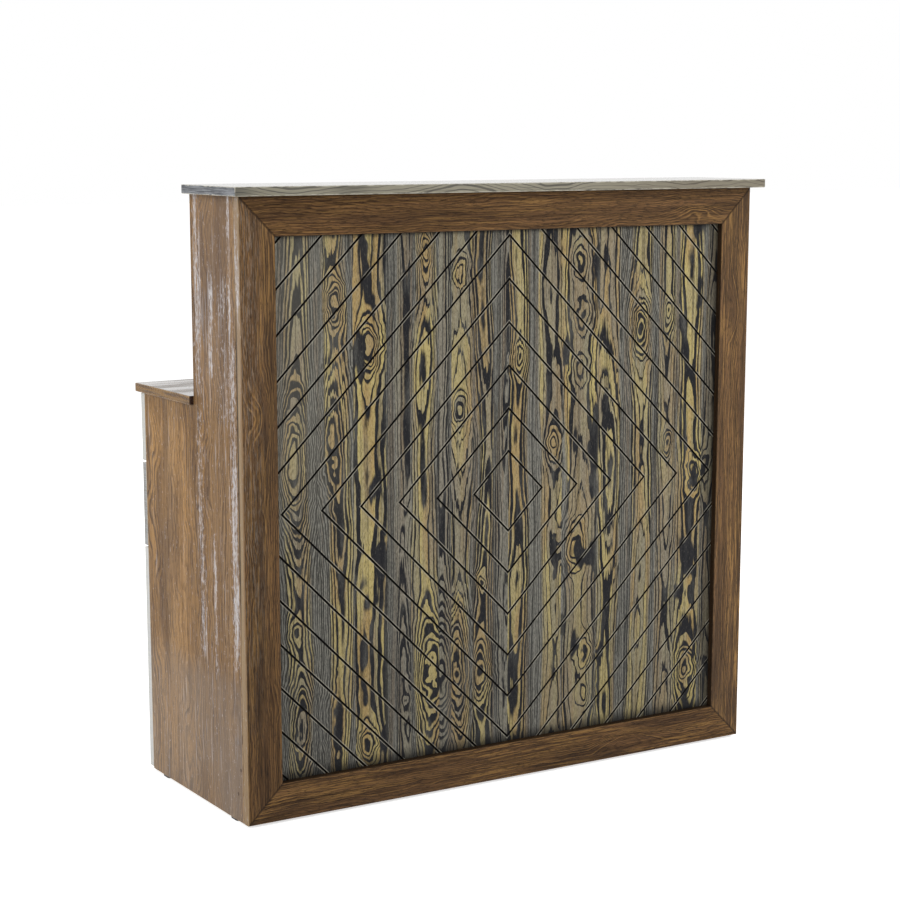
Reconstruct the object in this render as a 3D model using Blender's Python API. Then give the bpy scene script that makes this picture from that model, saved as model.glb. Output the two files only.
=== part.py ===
"""Reception desk: a framed front with a grooved panel, a raised counter over a lower worktop,
and on the staff side a cabinet with two drawers and a door beside an open knee space.

Metres, +Z up. The front faces -Y, staff sit at +Y. The origin is on the floor, under the middle
of the whole desk.
"""

import math

import bmesh
import bpy
from mathutils import Vector

# Overall sizes
DESK_WIDTH = 1.098            # across the front frame and the side panels
CARCASS_TOP = 1.100           # floor to the underside of the counter top
LOWER_DEPTH = 0.408           # front face of the frame to the rear edge of the side panels
UPPER_DEPTH = 0.192           # the same, above the worktop
WORKTOP_HEIGHT = 0.746        # floor to the top of the worktop
PEDESTAL_WIDTH = 0.450        # outer face of the left side panel to the knee side of the partition

# Front
FRAME_WIDTH = 0.0685
FRAME_THICKNESS = 0.020
FRAME_EASING = 0.002
PANEL_THICKNESS = 0.008
CARRIER_THICKNESS = 0.018
FIRST_DIAMOND = 0.0747        # middle of the panel to a corner of the innermost diamond
GROOVE_STEP = 0.079           # from one diamond's corner to the next one's, along a diagonal
GROOVE_WIDTH = 0.004
GROOVE_DEPTH = 0.003

# Carcass boards and tops
SIDE_THICKNESS = 0.018
CABINET_BOARD = 0.016
COUNTER_THICKNESS = 0.016
COUNTER_FRONT_OVERHANG = 0.0235
COUNTER_SIDE_OVERHANG = 0.017
COUNTER_REAR_SETBACK = 0.004
WORKTOP_THICKNESS = 0.016
WORKTOP_SIDE_OVERHANG = 0.008
WORKTOP_REAR_OVERHANG = 0.024
TOP_EASING = 0.0015
BOARD_EASING = 0.0006
CLEAT_DEPTH = 0.018
CLEAT_HEIGHT = 0.030

# Feet
FOOT_HEIGHT = 0.005
FOOT_LENGTH = 0.030
FOOT_WIDTH = 0.014
FOOT_EASING = 0.0012
FOOT_FRONT_SETBACK = 0.065
FOOT_REAR_SETBACK = 0.050

# Drawer fronts and door
FRONT_THICKNESS = 0.016
FRONT_GAP = 0.002             # air between the fronts and the carcass edges they cover
FRONT_INSET = 0.001           # fronts stop this short of the cabinet's outer faces
FRONT_REVEAL = 0.0035         # between one front and the next
TOP_REVEAL = 0.003            # between the top front and the worktop
DOOR_FLOOR_GAP = 0.0075
UPPER_FRONT_HEIGHT = 0.1265
LOWER_FRONT_HEIGHT = 0.158

# Drawer boxes and slides
BOX_BOARD = 0.012
BOX_BOTTOM = 0.004
BOX_GROOVE_DEPTH = 0.005
BOX_GROOVE_HEIGHT = 0.010     # lower edge of the box to the underside of its bottom
BOX_SPACE_BELOW = 0.014       # lower edge of the front to the lower edge of the box
BOX_SPACE_ABOVE = 0.028
BOX_SPACE_BEHIND = 0.0217     # carrier board to the inner end of the box
SLIDE_THICKNESS = 0.0127
SLIDE_HEIGHT = 0.035
SLIDE_SHEET = 0.0012
SLIDE_RAIL_DEPTH = 0.0095
SLIDE_RUNNER_DEPTH = 0.0097
SLIDE_RISE = 0.035            # lower edge of the box to the middle of the slide

# Shelf and its pins
SHELF_SIDE_GAP = 0.001
SHELF_SETBACK = 0.012
PIN_RADIUS = 0.0025
PIN_HEAD_RADIUS = 0.0036
PIN_DEPTH = 0.008
PIN_HEAD_LENGTH = 0.009
PIN_EASING = 0.0006
PIN_HOLE_DEPTH = 0.009
PIN_HOLE_STEP = 0.032
PIN_HOLES_EACH_WAY = 2
PIN_SETBACK = 0.050

# Hinges
HINGE_AXIS_INSET = 0.006      # door's hinged edge to the axis
HINGE_AXIS_DEPTH = 0.0155     # door's inner face to the axis
HINGE_END_DISTANCE = 0.090    # door's upper or lower edge to the middle of a hinge
CUP_RADIUS = 0.0172
CUP_WALL = 0.0012
CUP_DEPTH = 0.0112
CUP_RIM_RADIUS = 0.0190
CUP_RIM_THICKNESS = 0.0008
CUP_EDGE_DISTANCE = 0.0225    # door's hinged edge to the middle of the cup
ARM_LENGTH = 0.060
ARM_RISE = 0.013
ARM_LIFT = 0.005              # the free end stands this far off the side panel
ARM_HEEL = 0.018              # rear edge of the side panel to the end of the arm's base
ARM_CHAMFER = 0.004
ARM_HEIGHT = 0.014

# Handles and angle brackets
HANDLE_LENGTH = 0.128
HANDLE_REACH = 0.030
HANDLE_RADIUS = 0.005
HANDLE_BEND = 0.012
HANDLE_DOOR_INSET = 0.045     # door's free edge to the handle
HANDLE_DOOR_DROP = 0.120      # door's upper edge to the middle of the handle
BRACKET_LEG = 0.030
BRACKET_WIDTH = 0.020
BRACKET_SHEET = 0.002
BRACKET_SPREAD = 0.300        # middle of the desk to each bracket on the carrier board

# Fits and facets
FIT = 0.0003
SHARP_ANGLE = math.radians(40)
ROUND_SIDES = 24
PIN_SIDES = 12
BEND_STEPS = 5
EASING_STEPS = 2

# Places that several pieces share
TOTAL_DEPTH = COUNTER_FRONT_OVERHANG + LOWER_DEPTH + FRONT_GAP + FRONT_THICKNESS + HANDLE_REACH
FRONT_Y = COUNTER_FRONT_OVERHANG - TOTAL_DEPTH / 2
CARRIER_Y = FRONT_Y + FRAME_THICKNESS
INSIDE_Y = CARRIER_Y + CARRIER_THICKNESS
UPPER_REAR_Y = FRONT_Y + UPPER_DEPTH
REAR_Y = FRONT_Y + LOWER_DEPTH
FRONTS_Y = REAR_Y + FRONT_GAP
LEFT_X = -DESK_WIDTH / 2
RIGHT_X = DESK_WIDTH / 2
LEFT_INSIDE_X = LEFT_X + SIDE_THICKNESS
RIGHT_INSIDE_X = RIGHT_X - SIDE_THICKNESS
PARTITION_X = LEFT_X + PEDESTAL_WIDTH
PEDESTAL_INSIDE_X = PARTITION_X - SIDE_THICKNESS
BASE_Z = FOOT_HEIGHT
UNDER_WORKTOP_Z = WORKTOP_HEIGHT - WORKTOP_THICKNESS
LOWER_TOP_Z = UNDER_WORKTOP_Z - FIT
UPPER_FRONT_TOP_Z = UNDER_WORKTOP_Z - TOP_REVEAL
LOWER_FRONT_TOP_Z = UPPER_FRONT_TOP_Z - UPPER_FRONT_HEIGHT - FRONT_REVEAL
DOOR_TOP_Z = LOWER_FRONT_TOP_Z - LOWER_FRONT_HEIGHT - FRONT_REVEAL
FRONTS_LEFT_X = LEFT_X + FRONT_INSET
FRONTS_RIGHT_X = PARTITION_X - FRONT_INSET
DIVIDER_Z = DOOR_TOP_Z + (FRONT_REVEAL - CABINET_BOARD) / 2


def clear_scene():
    for old in list(bpy.data.objects):
        bpy.data.objects.remove(old, do_unlink=True)


def finish(name, colour, roughness, metallic=0.0):
    """Principled material of one colour, given as sRGB values from 0 to 1."""
    made = bpy.data.materials.new(name)
    made.use_nodes = True
    shader = made.node_tree.nodes["Principled BSDF"]
    linear = [((c + 0.055) / 1.055) ** 2.4 if c > 0.04045 else c / 12.92 for c in colour]
    shader.inputs["Base Color"].default_value = (*linear, 1.0)
    shader.inputs["Roughness"].default_value = roughness
    shader.inputs["Metallic"].default_value = metallic
    return made


def mark_outer_edges(shape, cut_ends):
    """Give the sharp outer edges a bevel weight, so that inner corners and cut ends stay sharp."""
    weights = shape.edges.layers.float.new("bevel_weight_edge")
    for edge in shape.edges:
        on_cut_end = any(face in cut_ends for face in edge.link_faces)
        if edge.is_convex and not on_cut_end and edge.calc_face_angle() > SHARP_ANGLE:
            edge[weights] = 1.0


def add_object(name, shape, material, place, cut_ends=()):
    """Turn a finished bmesh into a named object whose origin is at place."""
    bmesh.ops.recalc_face_normals(shape, faces=shape.faces)
    mark_outer_edges(shape, cut_ends)
    mesh = bpy.data.meshes.new(name)
    shape.to_mesh(mesh)
    shape.free()
    if material:
        mesh.materials.append(material)
    made = bpy.data.objects.new(name, mesh)
    made.location = place
    bpy.context.collection.objects.link(made)
    return made


def ease_edges(piece, width):
    """Small rounding on every sharp outer edge."""
    bevel = piece.modifiers.new("eased edges", "BEVEL")
    bevel.width = width
    bevel.segments = EASING_STEPS
    bevel.limit_method = "WEIGHT"


def board(name, low, high, material, easing=BOARD_EASING):
    """Rectangular board between two corners."""
    low = Vector(low)
    high = Vector(high)
    shape = bmesh.new()
    bmesh.ops.create_cube(shape, size=1.0)
    bmesh.ops.scale(shape, vec=high - low, verts=shape.verts)
    made = add_object(name, shape, material, (low + high) / 2)
    if easing:
        ease_edges(made, easing)
    return made


def profile_piece(name, outline, push, material, easing=BOARD_EASING, cut_sides=()):
    """Flat outline of 3-D points, pushed out into a solid along one direction.

    The sides that follow the outline's points numbered in cut_sides keep sharp edges.
    """
    origin = Vector(outline[0])
    shape = bmesh.new()
    corners = [shape.verts.new(Vector(point) - origin) for point in outline]
    face = shape.faces.new(corners)
    pushed = bmesh.ops.extrude_face_region(shape, geom=[face])
    moved = [item for item in pushed["geom"] if isinstance(item, bmesh.types.BMVert)]
    bmesh.ops.translate(shape, vec=push, verts=moved)
    cut_ends = []
    for number in cut_sides:
        edge = shape.edges.get((corners[number], corners[(number + 1) % len(corners)]))
        cut_ends += [side for side in edge.link_faces if side is not face]
    made = add_object(name, shape, material, origin, cut_ends)
    if easing:
        ease_edges(made, easing)
    return made


def turned_piece(name, profile, sides, material, place):
    """Solid turned about its own Z axis from (radius, height) points that start and end on it."""
    shape = bmesh.new()
    points = [shape.verts.new((radius, 0.0, height)) for radius, height in profile]
    lines = [shape.edges.new(pair) for pair in zip(points, points[1:])]
    bmesh.ops.spin(shape, geom=points + lines, cent=(0, 0, 0), axis=(0, 0, 1),
                   angle=math.tau, steps=sides, use_merge=True)
    bmesh.ops.remove_doubles(shape, verts=shape.verts, dist=1e-6)
    made = add_object(name, shape, material, place)
    made.data.shade_smooth()
    made.data.set_sharp_from_angle(angle=SHARP_ANGLE)
    return made


def cut_away(piece, cutter):
    """Remove the cutter's shape from a piece, and keep the cutter out of the model."""
    cutter.hide_render = True
    cutter.display_type = "WIRE"
    cut = piece.modifiers.new(cutter.name, "BOOLEAN")
    cut.operation = "DIFFERENCE"
    cut.solver = "EXACT"
    cut.object = cutter


def joint_axis(name, place):
    """Empty on a joint's axis, which carries the pieces that move together."""
    axis = bpy.data.objects.new(name, None)
    axis.location = place
    bpy.context.collection.objects.link(axis)
    return axis


def carry(axis, pieces):
    for piece in pieces:
        piece.parent = axis
        piece.location -= axis.location


def build_front(oak, pine, core):
    """Mitred frame and grooved panel, both fixed to a carrier board between the side panels."""
    mitre_gap = FIT / math.sqrt(2)
    back = FRAME_THICKNESS - FIT
    inner_left = LEFT_X + FRAME_WIDTH
    inner_right = RIGHT_X - FRAME_WIDTH
    inner_low = BASE_Z + FRAME_WIDTH
    inner_high = CARCASS_TOP - FRAME_WIDTH

    for name, outer, inner in (("frame_top_rail", CARCASS_TOP, inner_high),
                               ("frame_bottom_rail", BASE_Z, inner_low)):
        outline = [(LEFT_X + mitre_gap, FRONT_Y, outer), (RIGHT_X - mitre_gap, FRONT_Y, outer),
                   (inner_right - mitre_gap, FRONT_Y, inner), (inner_left + mitre_gap, FRONT_Y, inner)]
        profile_piece(name, outline, (0, back, 0), oak, FRAME_EASING, cut_sides=(1, 3))

    for name, outer, inner in (("frame_left_stile", LEFT_X, inner_left),
                               ("frame_right_stile", RIGHT_X, inner_right)):
        outline = [(outer, FRONT_Y, BASE_Z + mitre_gap), (inner, FRONT_Y, inner_low + mitre_gap),
                   (inner, FRONT_Y, inner_high - mitre_gap), (outer, FRONT_Y, CARCASS_TOP - mitre_gap)]
        profile_piece(name, outline, (0, back, 0), oak, FRAME_EASING, cut_sides=(0, 2))

    panel_face = FRONT_Y + back - PANEL_THICKNESS
    panel = board("grooved_panel", (inner_left + FIT, panel_face, inner_low + FIT),
                  (inner_right - FIT, FRONT_Y + back, inner_high - FIT), pine, easing=None)
    cut_away(panel, diamond_cutter(panel_face, inner_right - inner_left, inner_high - inner_low))

    board("carrier_board", (LEFT_INSIDE_X + FIT, CARRIER_Y, BASE_Z),
          (RIGHT_INSIDE_X - FIT, INSIDE_Y, CARCASS_TOP), core)


def diamond_cutter(face_y, opening_width, opening_height):
    """Nested square rings standing on their corners, each with a V-shaped section.

    The rings go on past the opening's edges until one would miss its corners, so the outer ones
    cut only the diagonals that cross the corners.
    """
    centre = Vector((0, face_y, (BASE_Z + CARCASS_TOP) / 2))
    rings = int(((opening_width + opening_height) / 2 - FIRST_DIAMOND) / GROOVE_STEP) + 1
    corner_spread = GROOVE_WIDTH / 2 * math.sqrt(2)
    above = GROOVE_DEPTH
    flare = corner_spread * (GROOVE_DEPTH + above) / GROOVE_DEPTH
    section = ((-flare, -above), (flare, -above), (0.0, GROOVE_DEPTH))
    shape = bmesh.new()
    for ring in range(rings):
        reach = FIRST_DIAMOND + ring * GROOVE_STEP
        corners = []
        for across, up in ((1, 0), (0, 1), (-1, 0), (0, -1)):
            corners.append([shape.verts.new((across * (reach + out), deep, up * (reach + out)))
                            for out, deep in section])
        for here in range(4):
            start = corners[here]
            end = corners[(here + 1) % 4]
            for side in range(3):
                after = (side + 1) % 3
                shape.faces.new((start[side], start[after], end[after], end[side]))
    return add_object("diamond_grooves", shape, None, centre)


def build_carcass(oak, core):
    """Two stepped side panels, the partition, and the boards of the cabinet beside the knee space."""
    for name, outer, inward in (("side_panel_left", LEFT_X, 1), ("side_panel_right", RIGHT_X, -1)):
        outline = [(outer, CARRIER_Y, BASE_Z), (outer, REAR_Y, BASE_Z), (outer, REAR_Y, LOWER_TOP_Z),
                   (outer, UPPER_REAR_Y, LOWER_TOP_Z), (outer, UPPER_REAR_Y, CARCASS_TOP),
                   (outer, CARRIER_Y, CARCASS_TOP)]
        profile_piece(name, outline, (inward * SIDE_THICKNESS, 0, 0), oak)

    board("partition", (PEDESTAL_INSIDE_X, INSIDE_Y + FIT, BASE_Z), (PARTITION_X, REAR_Y, LOWER_TOP_Z), oak)

    cabinet_left = LEFT_INSIDE_X + FIT
    cabinet_right = PEDESTAL_INSIDE_X - FIT
    for name, low in (("cabinet_floor", BASE_Z), ("drawer_divider", DIVIDER_Z)):
        board(name, (cabinet_left, INSIDE_Y + FIT, low), (cabinet_right, REAR_Y, low + CABINET_BOARD), core)

    cleat_low = LOWER_TOP_Z - CLEAT_HEIGHT
    for name, left, right in (("worktop_cleat_cabinet", cabinet_left, cabinet_right),
                              ("worktop_cleat_knee", PARTITION_X + FIT, RIGHT_INSIDE_X - FIT)):
        board(name, (left, INSIDE_Y + FIT, cleat_low),
              (right, INSIDE_Y + FIT + CLEAT_DEPTH, LOWER_TOP_Z), core)


def build_tops(grey_wood):
    """Counter over the front, and a worktop whose tongue reaches under it between the side panels."""
    board("counter_top",
          (LEFT_X - COUNTER_SIDE_OVERHANG, FRONT_Y - COUNTER_FRONT_OVERHANG, CARCASS_TOP + FIT),
          (RIGHT_X + COUNTER_SIDE_OVERHANG, UPPER_REAR_Y - COUNTER_REAR_SETBACK,
           CARCASS_TOP + FIT + COUNTER_THICKNESS), grey_wood, TOP_EASING)

    wide = RIGHT_X + WORKTOP_SIDE_OVERHANG
    narrow = RIGHT_INSIDE_X - FIT
    shoulder = UPPER_REAR_Y + FIT
    rear = REAR_Y + WORKTOP_REAR_OVERHANG
    half = [(narrow, INSIDE_Y + FIT), (narrow, shoulder), (wide, shoulder), (wide, rear)]
    outline = half + [(-x, y) for x, y in reversed(half)]
    profile_piece("worktop", [(x, y, UNDER_WORKTOP_Z) for x, y in outline],
                  (0, 0, WORKTOP_THICKNESS), grey_wood, TOP_EASING)


def build_feet(plastic):
    """Low glides with round ends under the side panels and the partition."""
    half_straight = (FOOT_LENGTH - FOOT_WIDTH) / 2
    plan = []
    for end in (1, -1):
        for step in range(BEND_STEPS + 1):
            turn = math.pi * step / BEND_STEPS
            plan.append((end * FOOT_WIDTH / 2 * math.cos(turn),
                         end * (half_straight + FOOT_WIDTH / 2 * math.sin(turn))))
    rows = (("front", FRONT_Y + FOOT_FRONT_SETBACK), ("rear", REAR_Y - FOOT_REAR_SETBACK))
    columns = (("left", LEFT_X + SIDE_THICKNESS / 2), ("middle", PARTITION_X - SIDE_THICKNESS / 2),
               ("right", RIGHT_X - SIDE_THICKNESS / 2))
    for row, y in rows:
        for column, x in columns:
            outline = [(x + dx, y + dy, 0.0) for dx, dy in plan]
            profile_piece(f"foot_{row}_{column}", outline, (0, 0, FOOT_HEIGHT - FIT), plastic, FOOT_EASING)


def build_brackets(steel):
    """Angle brackets that hold the counter to the carrier board and the side panels."""
    top = CARCASS_TOP
    bend = BRACKET_SHEET
    angle = [(FIT, 0.0), (FIT, -BRACKET_LEG), (FIT + bend, -BRACKET_LEG), (FIT + bend, -bend),
             (BRACKET_LEG, -bend), (BRACKET_LEG, 0.0)]
    for side, x in (("left", -BRACKET_SPREAD), ("right", BRACKET_SPREAD)):
        outline = [(x - BRACKET_WIDTH / 2, INSIDE_Y + out, top + up) for out, up in angle]
        profile_piece(f"bracket_front_{side}", outline, (BRACKET_WIDTH, 0, 0), steel, easing=None)
    middle = (INSIDE_Y + UPPER_REAR_Y - BRACKET_WIDTH) / 2
    for side, wall, inward in (("left", LEFT_INSIDE_X, 1), ("right", RIGHT_INSIDE_X, -1)):
        outline = [(wall + inward * out, middle, top + up) for out, up in angle]
        profile_piece(f"bracket_side_{side}", outline, (0, BRACKET_WIDTH, 0), steel, easing=None)


def build_shelf(core, steel):
    """Loose shelf on four pins, with rows of pin holes above and below for other heights."""
    pin_z = (BASE_Z + CABINET_BOARD + DIVIDER_Z) / 2
    rows = (("front", INSIDE_Y + PIN_SETBACK), ("rear", REAR_Y - PIN_SETBACK))
    walls = (("left", LEFT_INSIDE_X, 1, "side_panel_left"), ("right", PEDESTAL_INSIDE_X, -1, "partition"))
    hole = [(0.0, PIN_HOLE_DEPTH), (PIN_RADIUS + FIT, PIN_HOLE_DEPTH), (PIN_RADIUS + FIT, -PIN_HOLE_DEPTH),
            (0.0, -PIN_HOLE_DEPTH)]
    pin = [(0.0, PIN_DEPTH), (PIN_RADIUS - PIN_EASING, PIN_DEPTH), (PIN_RADIUS, PIN_DEPTH - PIN_EASING),
           (PIN_RADIUS, -FIT), (PIN_HEAD_RADIUS, -FIT), (PIN_HEAD_RADIUS, PIN_EASING - PIN_HEAD_LENGTH),
           (PIN_HEAD_RADIUS - PIN_EASING, -PIN_HEAD_LENGTH), (0.0, -PIN_HEAD_LENGTH)]
    for side, wall, inward, panel in walls:
        into_wall = (0.0, -inward * math.pi / 2, 0.0)
        for row, y in rows:
            for step in range(-PIN_HOLES_EACH_WAY, PIN_HOLES_EACH_WAY + 1):
                place = (wall, y, pin_z + step * PIN_HOLE_STEP)
                cutter = turned_piece(f"pin_hole_{side}_{row}_{step}", hole, PIN_SIDES, None, place)
                cutter.rotation_euler = into_wall
                cut_away(bpy.data.objects[panel], cutter)
            made = turned_piece(f"shelf_pin_{row}_{side}", pin, PIN_SIDES, steel, (wall, y, pin_z))
            made.rotation_euler = into_wall

    shelf_low = pin_z + PIN_HEAD_RADIUS + FIT
    board("shelf", (LEFT_INSIDE_X + SHELF_SIDE_GAP, INSIDE_Y + SHELF_SETBACK, shelf_low),
          (PEDESTAL_INSIDE_X - SHELF_SIDE_GAP, REAR_Y - SHELF_SETBACK, shelf_low + CABINET_BOARD), core)


def bow_handle(name, metal, place, upright=False):
    """Round bar bent into a bow, whose two feet stand on a front's outer face."""
    half = HANDLE_LENGTH / 2
    outer = HANDLE_REACH - HANDLE_RADIUS
    side = [(half, FIT)]
    for step in range(BEND_STEPS + 1):
        turn = math.pi / 2 * step / BEND_STEPS
        side.append((half - HANDLE_BEND * (1 - math.cos(turn)),
                     outer - HANDLE_BEND * (1 - math.sin(turn))))
    path = side + [(-along, out) for along, out in reversed(side)]
    bar = bpy.data.curves.new(name, "CURVE")
    bar.dimensions = "3D"
    bar.bevel_depth = HANDLE_RADIUS
    bar.bevel_resolution = 3
    bar.use_fill_caps = True
    bar.materials.append(metal)
    line = bar.splines.new("POLY")
    line.points.add(len(path) - 1)
    for point, (along, out) in zip(line.points, path):
        point.co = (along, out, 0.0, 1.0)
    line.use_smooth = True
    made = bpy.data.objects.new(name, bar)
    made.location = place
    if upright:
        made.rotation_euler = (0.0, math.pi / 2, 0.0)
    bpy.context.collection.objects.link(made)
    return made


def build_drawer(name, front_low, front_high, grey_wood, birch, steel, dark_metal):
    """Overlay front on a grooved box, which runs between two slides of two members each."""
    slide_space = SLIDE_THICKNESS + 2 * FIT
    left = LEFT_INSIDE_X + slide_space
    right = PEDESTAL_INSIDE_X - slide_space
    low = front_low + BOX_SPACE_BELOW
    high = front_high - BOX_SPACE_ABOVE
    inner_end = INSIDE_Y + BOX_SPACE_BEHIND
    outer_end = FRONTS_Y - FIT
    slide_z = low + SLIDE_RISE
    moving = [board(f"{name}_front", (FRONTS_LEFT_X, FRONTS_Y, front_low),
                    (FRONTS_RIGHT_X, FRONTS_Y + FRONT_THICKNESS, front_high), grey_wood)]

    side_left = board(f"{name}_side_left", (left, inner_end, low),
                      (left + BOX_BOARD, outer_end, high), birch)
    side_right = board(f"{name}_side_right", (right - BOX_BOARD, inner_end, low),
                       (right, outer_end, high), birch)
    end_left = left + BOX_BOARD + FIT
    end_right = right - BOX_BOARD - FIT
    inner = board(f"{name}_back", (end_left, inner_end, low),
                  (end_right, inner_end + BOX_BOARD, high), birch)
    outer = board(f"{name}_box_front", (end_left, outer_end - BOX_BOARD, low),
                  (end_right, outer_end, high), birch)
    walls = [side_left, side_right, inner, outer]

    groove_low = Vector((left + BOX_BOARD - BOX_GROOVE_DEPTH, inner_end + BOX_BOARD - BOX_GROOVE_DEPTH,
                         low + BOX_GROOVE_HEIGHT))
    groove_high = Vector((right - BOX_BOARD + BOX_GROOVE_DEPTH, outer_end - BOX_BOARD + BOX_GROOVE_DEPTH,
                          low + BOX_GROOVE_HEIGHT + BOX_BOTTOM))
    play = Vector((FIT, FIT, FIT))
    groove = board(f"{name}_bottom_groove", groove_low - play, groove_high + play, None, easing=None)
    for wall in walls:
        cut_away(wall, groove)
    moving += walls
    moving.append(board(f"{name}_bottom", groove_low, groove_high, birch, easing=None))

    half = SLIDE_HEIGHT / 2
    nested = half - SLIDE_SHEET - FIT
    rail = [(0.0, -half), (SLIDE_RAIL_DEPTH, -half), (SLIDE_RAIL_DEPTH, SLIDE_SHEET - half),
            (SLIDE_SHEET, SLIDE_SHEET - half)]
    runner = [(SLIDE_THICKNESS, -nested), (SLIDE_THICKNESS - SLIDE_RUNNER_DEPTH, -nested),
              (SLIDE_THICKNESS - SLIDE_RUNNER_DEPTH, SLIDE_SHEET - nested),
              (SLIDE_THICKNESS - SLIDE_SHEET, SLIDE_SHEET - nested)]
    slide_length = (0, REAR_Y - inner_end, 0)
    for side, wall, inward in (("left", LEFT_INSIDE_X, 1), ("right", PEDESTAL_INSIDE_X, -1)):
        for member, lower_half in (("rail", rail), ("runner", runner)):
            channel = lower_half + [(out, -up) for out, up in reversed(lower_half)]
            outline = [(wall + inward * (FIT + out), inner_end, slide_z + up) for out, up in channel]
            made = profile_piece(f"{name}_{member}_{side}", outline, slide_length, steel, easing=None)
            if member == "runner":
                moving.append(made)

    handle_place = ((FRONTS_LEFT_X + FRONTS_RIGHT_X) / 2, FRONTS_Y + FRONT_THICKNESS,
                    (front_low + front_high) / 2)
    moving.append(bow_handle(f"{name}_handle", dark_metal, handle_place))
    carry(joint_axis(f"{name}_slide_axis", ((left + right) / 2, inner_end, slide_z)), moving)


def build_door(grey_wood, steel, dark_metal):
    """Overlay door on two cup hinges: cups let into the door, arms screwed to the left side panel."""
    door = board("door", (FRONTS_LEFT_X, FRONTS_Y, DOOR_FLOOR_GAP),
                 (FRONTS_RIGHT_X, FRONTS_Y + FRONT_THICKNESS, DOOR_TOP_Z), grey_wood)
    moving = [door]

    rim_low = -FIT - CUP_RIM_THICKNESS
    inner_radius = CUP_RADIUS - CUP_WALL
    cup_floor = CUP_DEPTH - CUP_WALL
    cup = [(0.0, cup_floor), (inner_radius, cup_floor), (inner_radius, rim_low), (CUP_RIM_RADIUS, rim_low),
           (CUP_RIM_RADIUS, -FIT), (CUP_RADIUS, -FIT), (CUP_RADIUS, CUP_DEPTH), (0.0, CUP_DEPTH)]
    bore_end = CUP_DEPTH + FIT
    bore = [(0.0, bore_end), (CUP_RADIUS + FIT, bore_end), (CUP_RADIUS + FIT, -bore_end), (0.0, -bore_end)]
    into_door = (-math.pi / 2, 0.0, 0.0)

    base = LEFT_INSIDE_X + FIT
    tip = FRONT_GAP + cup_floor - FIT
    arm = [(0.0, -ARM_LENGTH), (ARM_RISE - ARM_CHAMFER, -ARM_LENGTH), (ARM_RISE, ARM_CHAMFER - ARM_LENGTH),
           (ARM_RISE, tip), (ARM_LIFT, tip), (ARM_LIFT, ARM_CHAMFER - ARM_HEEL), (0.0, -ARM_HEEL)]

    levels = (("upper", DOOR_TOP_Z - HINGE_END_DISTANCE), ("lower", DOOR_FLOOR_GAP + HINGE_END_DISTANCE))
    for level, z in levels:
        place = (FRONTS_LEFT_X + CUP_EDGE_DISTANCE, FRONTS_Y, z)
        cutter = turned_piece(f"cup_bore_{level}", bore, ROUND_SIDES, None, place)
        cutter.rotation_euler = into_door
        cut_away(door, cutter)
        made = turned_piece(f"hinge_cup_{level}", cup, ROUND_SIDES, steel, place)
        made.rotation_euler = into_door
        moving += [cutter, made]
        outline = [(base + out, REAR_Y + along, z - ARM_HEIGHT / 2) for out, along in arm]
        profile_piece(f"hinge_arm_{level}", outline, (0, 0, ARM_HEIGHT), steel, easing=None)

    handle_place = (FRONTS_RIGHT_X - HANDLE_DOOR_INSET, FRONTS_Y + FRONT_THICKNESS,
                    DOOR_TOP_Z - HANDLE_DOOR_DROP)
    moving.append(bow_handle("door_handle", dark_metal, handle_place, upright=True))
    axis_place = (FRONTS_LEFT_X + HINGE_AXIS_INSET, FRONTS_Y + HINGE_AXIS_DEPTH, DOOR_FLOOR_GAP)
    carry(joint_axis("door_hinge_axis", axis_place), moving)


clear_scene()
stained_oak = finish("stained oak", (0.44, 0.34, 0.25), 0.45)
grooved_pine = finish("brushed pine", (0.43, 0.41, 0.35), 0.55)
grey_pine = finish("grey stained pine", (0.62, 0.60, 0.55), 0.40)
brown_board = finish("brown carcass board", (0.46, 0.37, 0.28), 0.60)
birch_ply = finish("birch plywood", (0.80, 0.70, 0.54), 0.55)
zinc_steel = finish("zinc plated steel", (0.72, 0.73, 0.74), 0.35, metallic=1.0)
black_metal = finish("black painted metal", (0.06, 0.06, 0.06), 0.45)
black_plastic = finish("black plastic", (0.07, 0.07, 0.07), 0.60)

build_front(stained_oak, grooved_pine, brown_board)
build_carcass(stained_oak, brown_board)
build_tops(grey_pine)
build_feet(black_plastic)
build_brackets(zinc_steel)
build_shelf(brown_board, zinc_steel)
build_drawer("drawer_upper", UPPER_FRONT_TOP_Z - UPPER_FRONT_HEIGHT, UPPER_FRONT_TOP_Z,
             grey_pine, birch_ply, zinc_steel, black_metal)
build_drawer("drawer_lower", LOWER_FRONT_TOP_Z - LOWER_FRONT_HEIGHT, LOWER_FRONT_TOP_Z,
             grey_pine, birch_ply, zinc_steel, black_metal)
build_door(grey_pine, zinc_steel, black_metal)
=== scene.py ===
import math

import bmesh
import bpy
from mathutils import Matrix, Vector


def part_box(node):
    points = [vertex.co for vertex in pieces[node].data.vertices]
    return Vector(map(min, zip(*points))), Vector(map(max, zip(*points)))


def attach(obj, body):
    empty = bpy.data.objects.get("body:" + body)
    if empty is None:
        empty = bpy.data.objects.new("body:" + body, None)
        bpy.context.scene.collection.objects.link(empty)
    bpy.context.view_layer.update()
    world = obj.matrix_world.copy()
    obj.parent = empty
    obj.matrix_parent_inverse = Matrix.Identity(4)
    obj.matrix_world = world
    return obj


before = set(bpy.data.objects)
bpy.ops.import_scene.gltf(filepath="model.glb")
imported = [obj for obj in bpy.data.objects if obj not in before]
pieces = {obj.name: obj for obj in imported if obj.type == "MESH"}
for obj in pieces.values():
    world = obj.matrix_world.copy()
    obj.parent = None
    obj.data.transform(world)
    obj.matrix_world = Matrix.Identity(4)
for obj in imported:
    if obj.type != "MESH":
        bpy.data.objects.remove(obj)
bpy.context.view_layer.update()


# Side panels and partition
# Boards faced with oak veneer, the outer two stepped to the desk's outline, with the grain upright.
# They are stained brown and lacquered, with painted sheen in streaks near the front.

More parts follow.
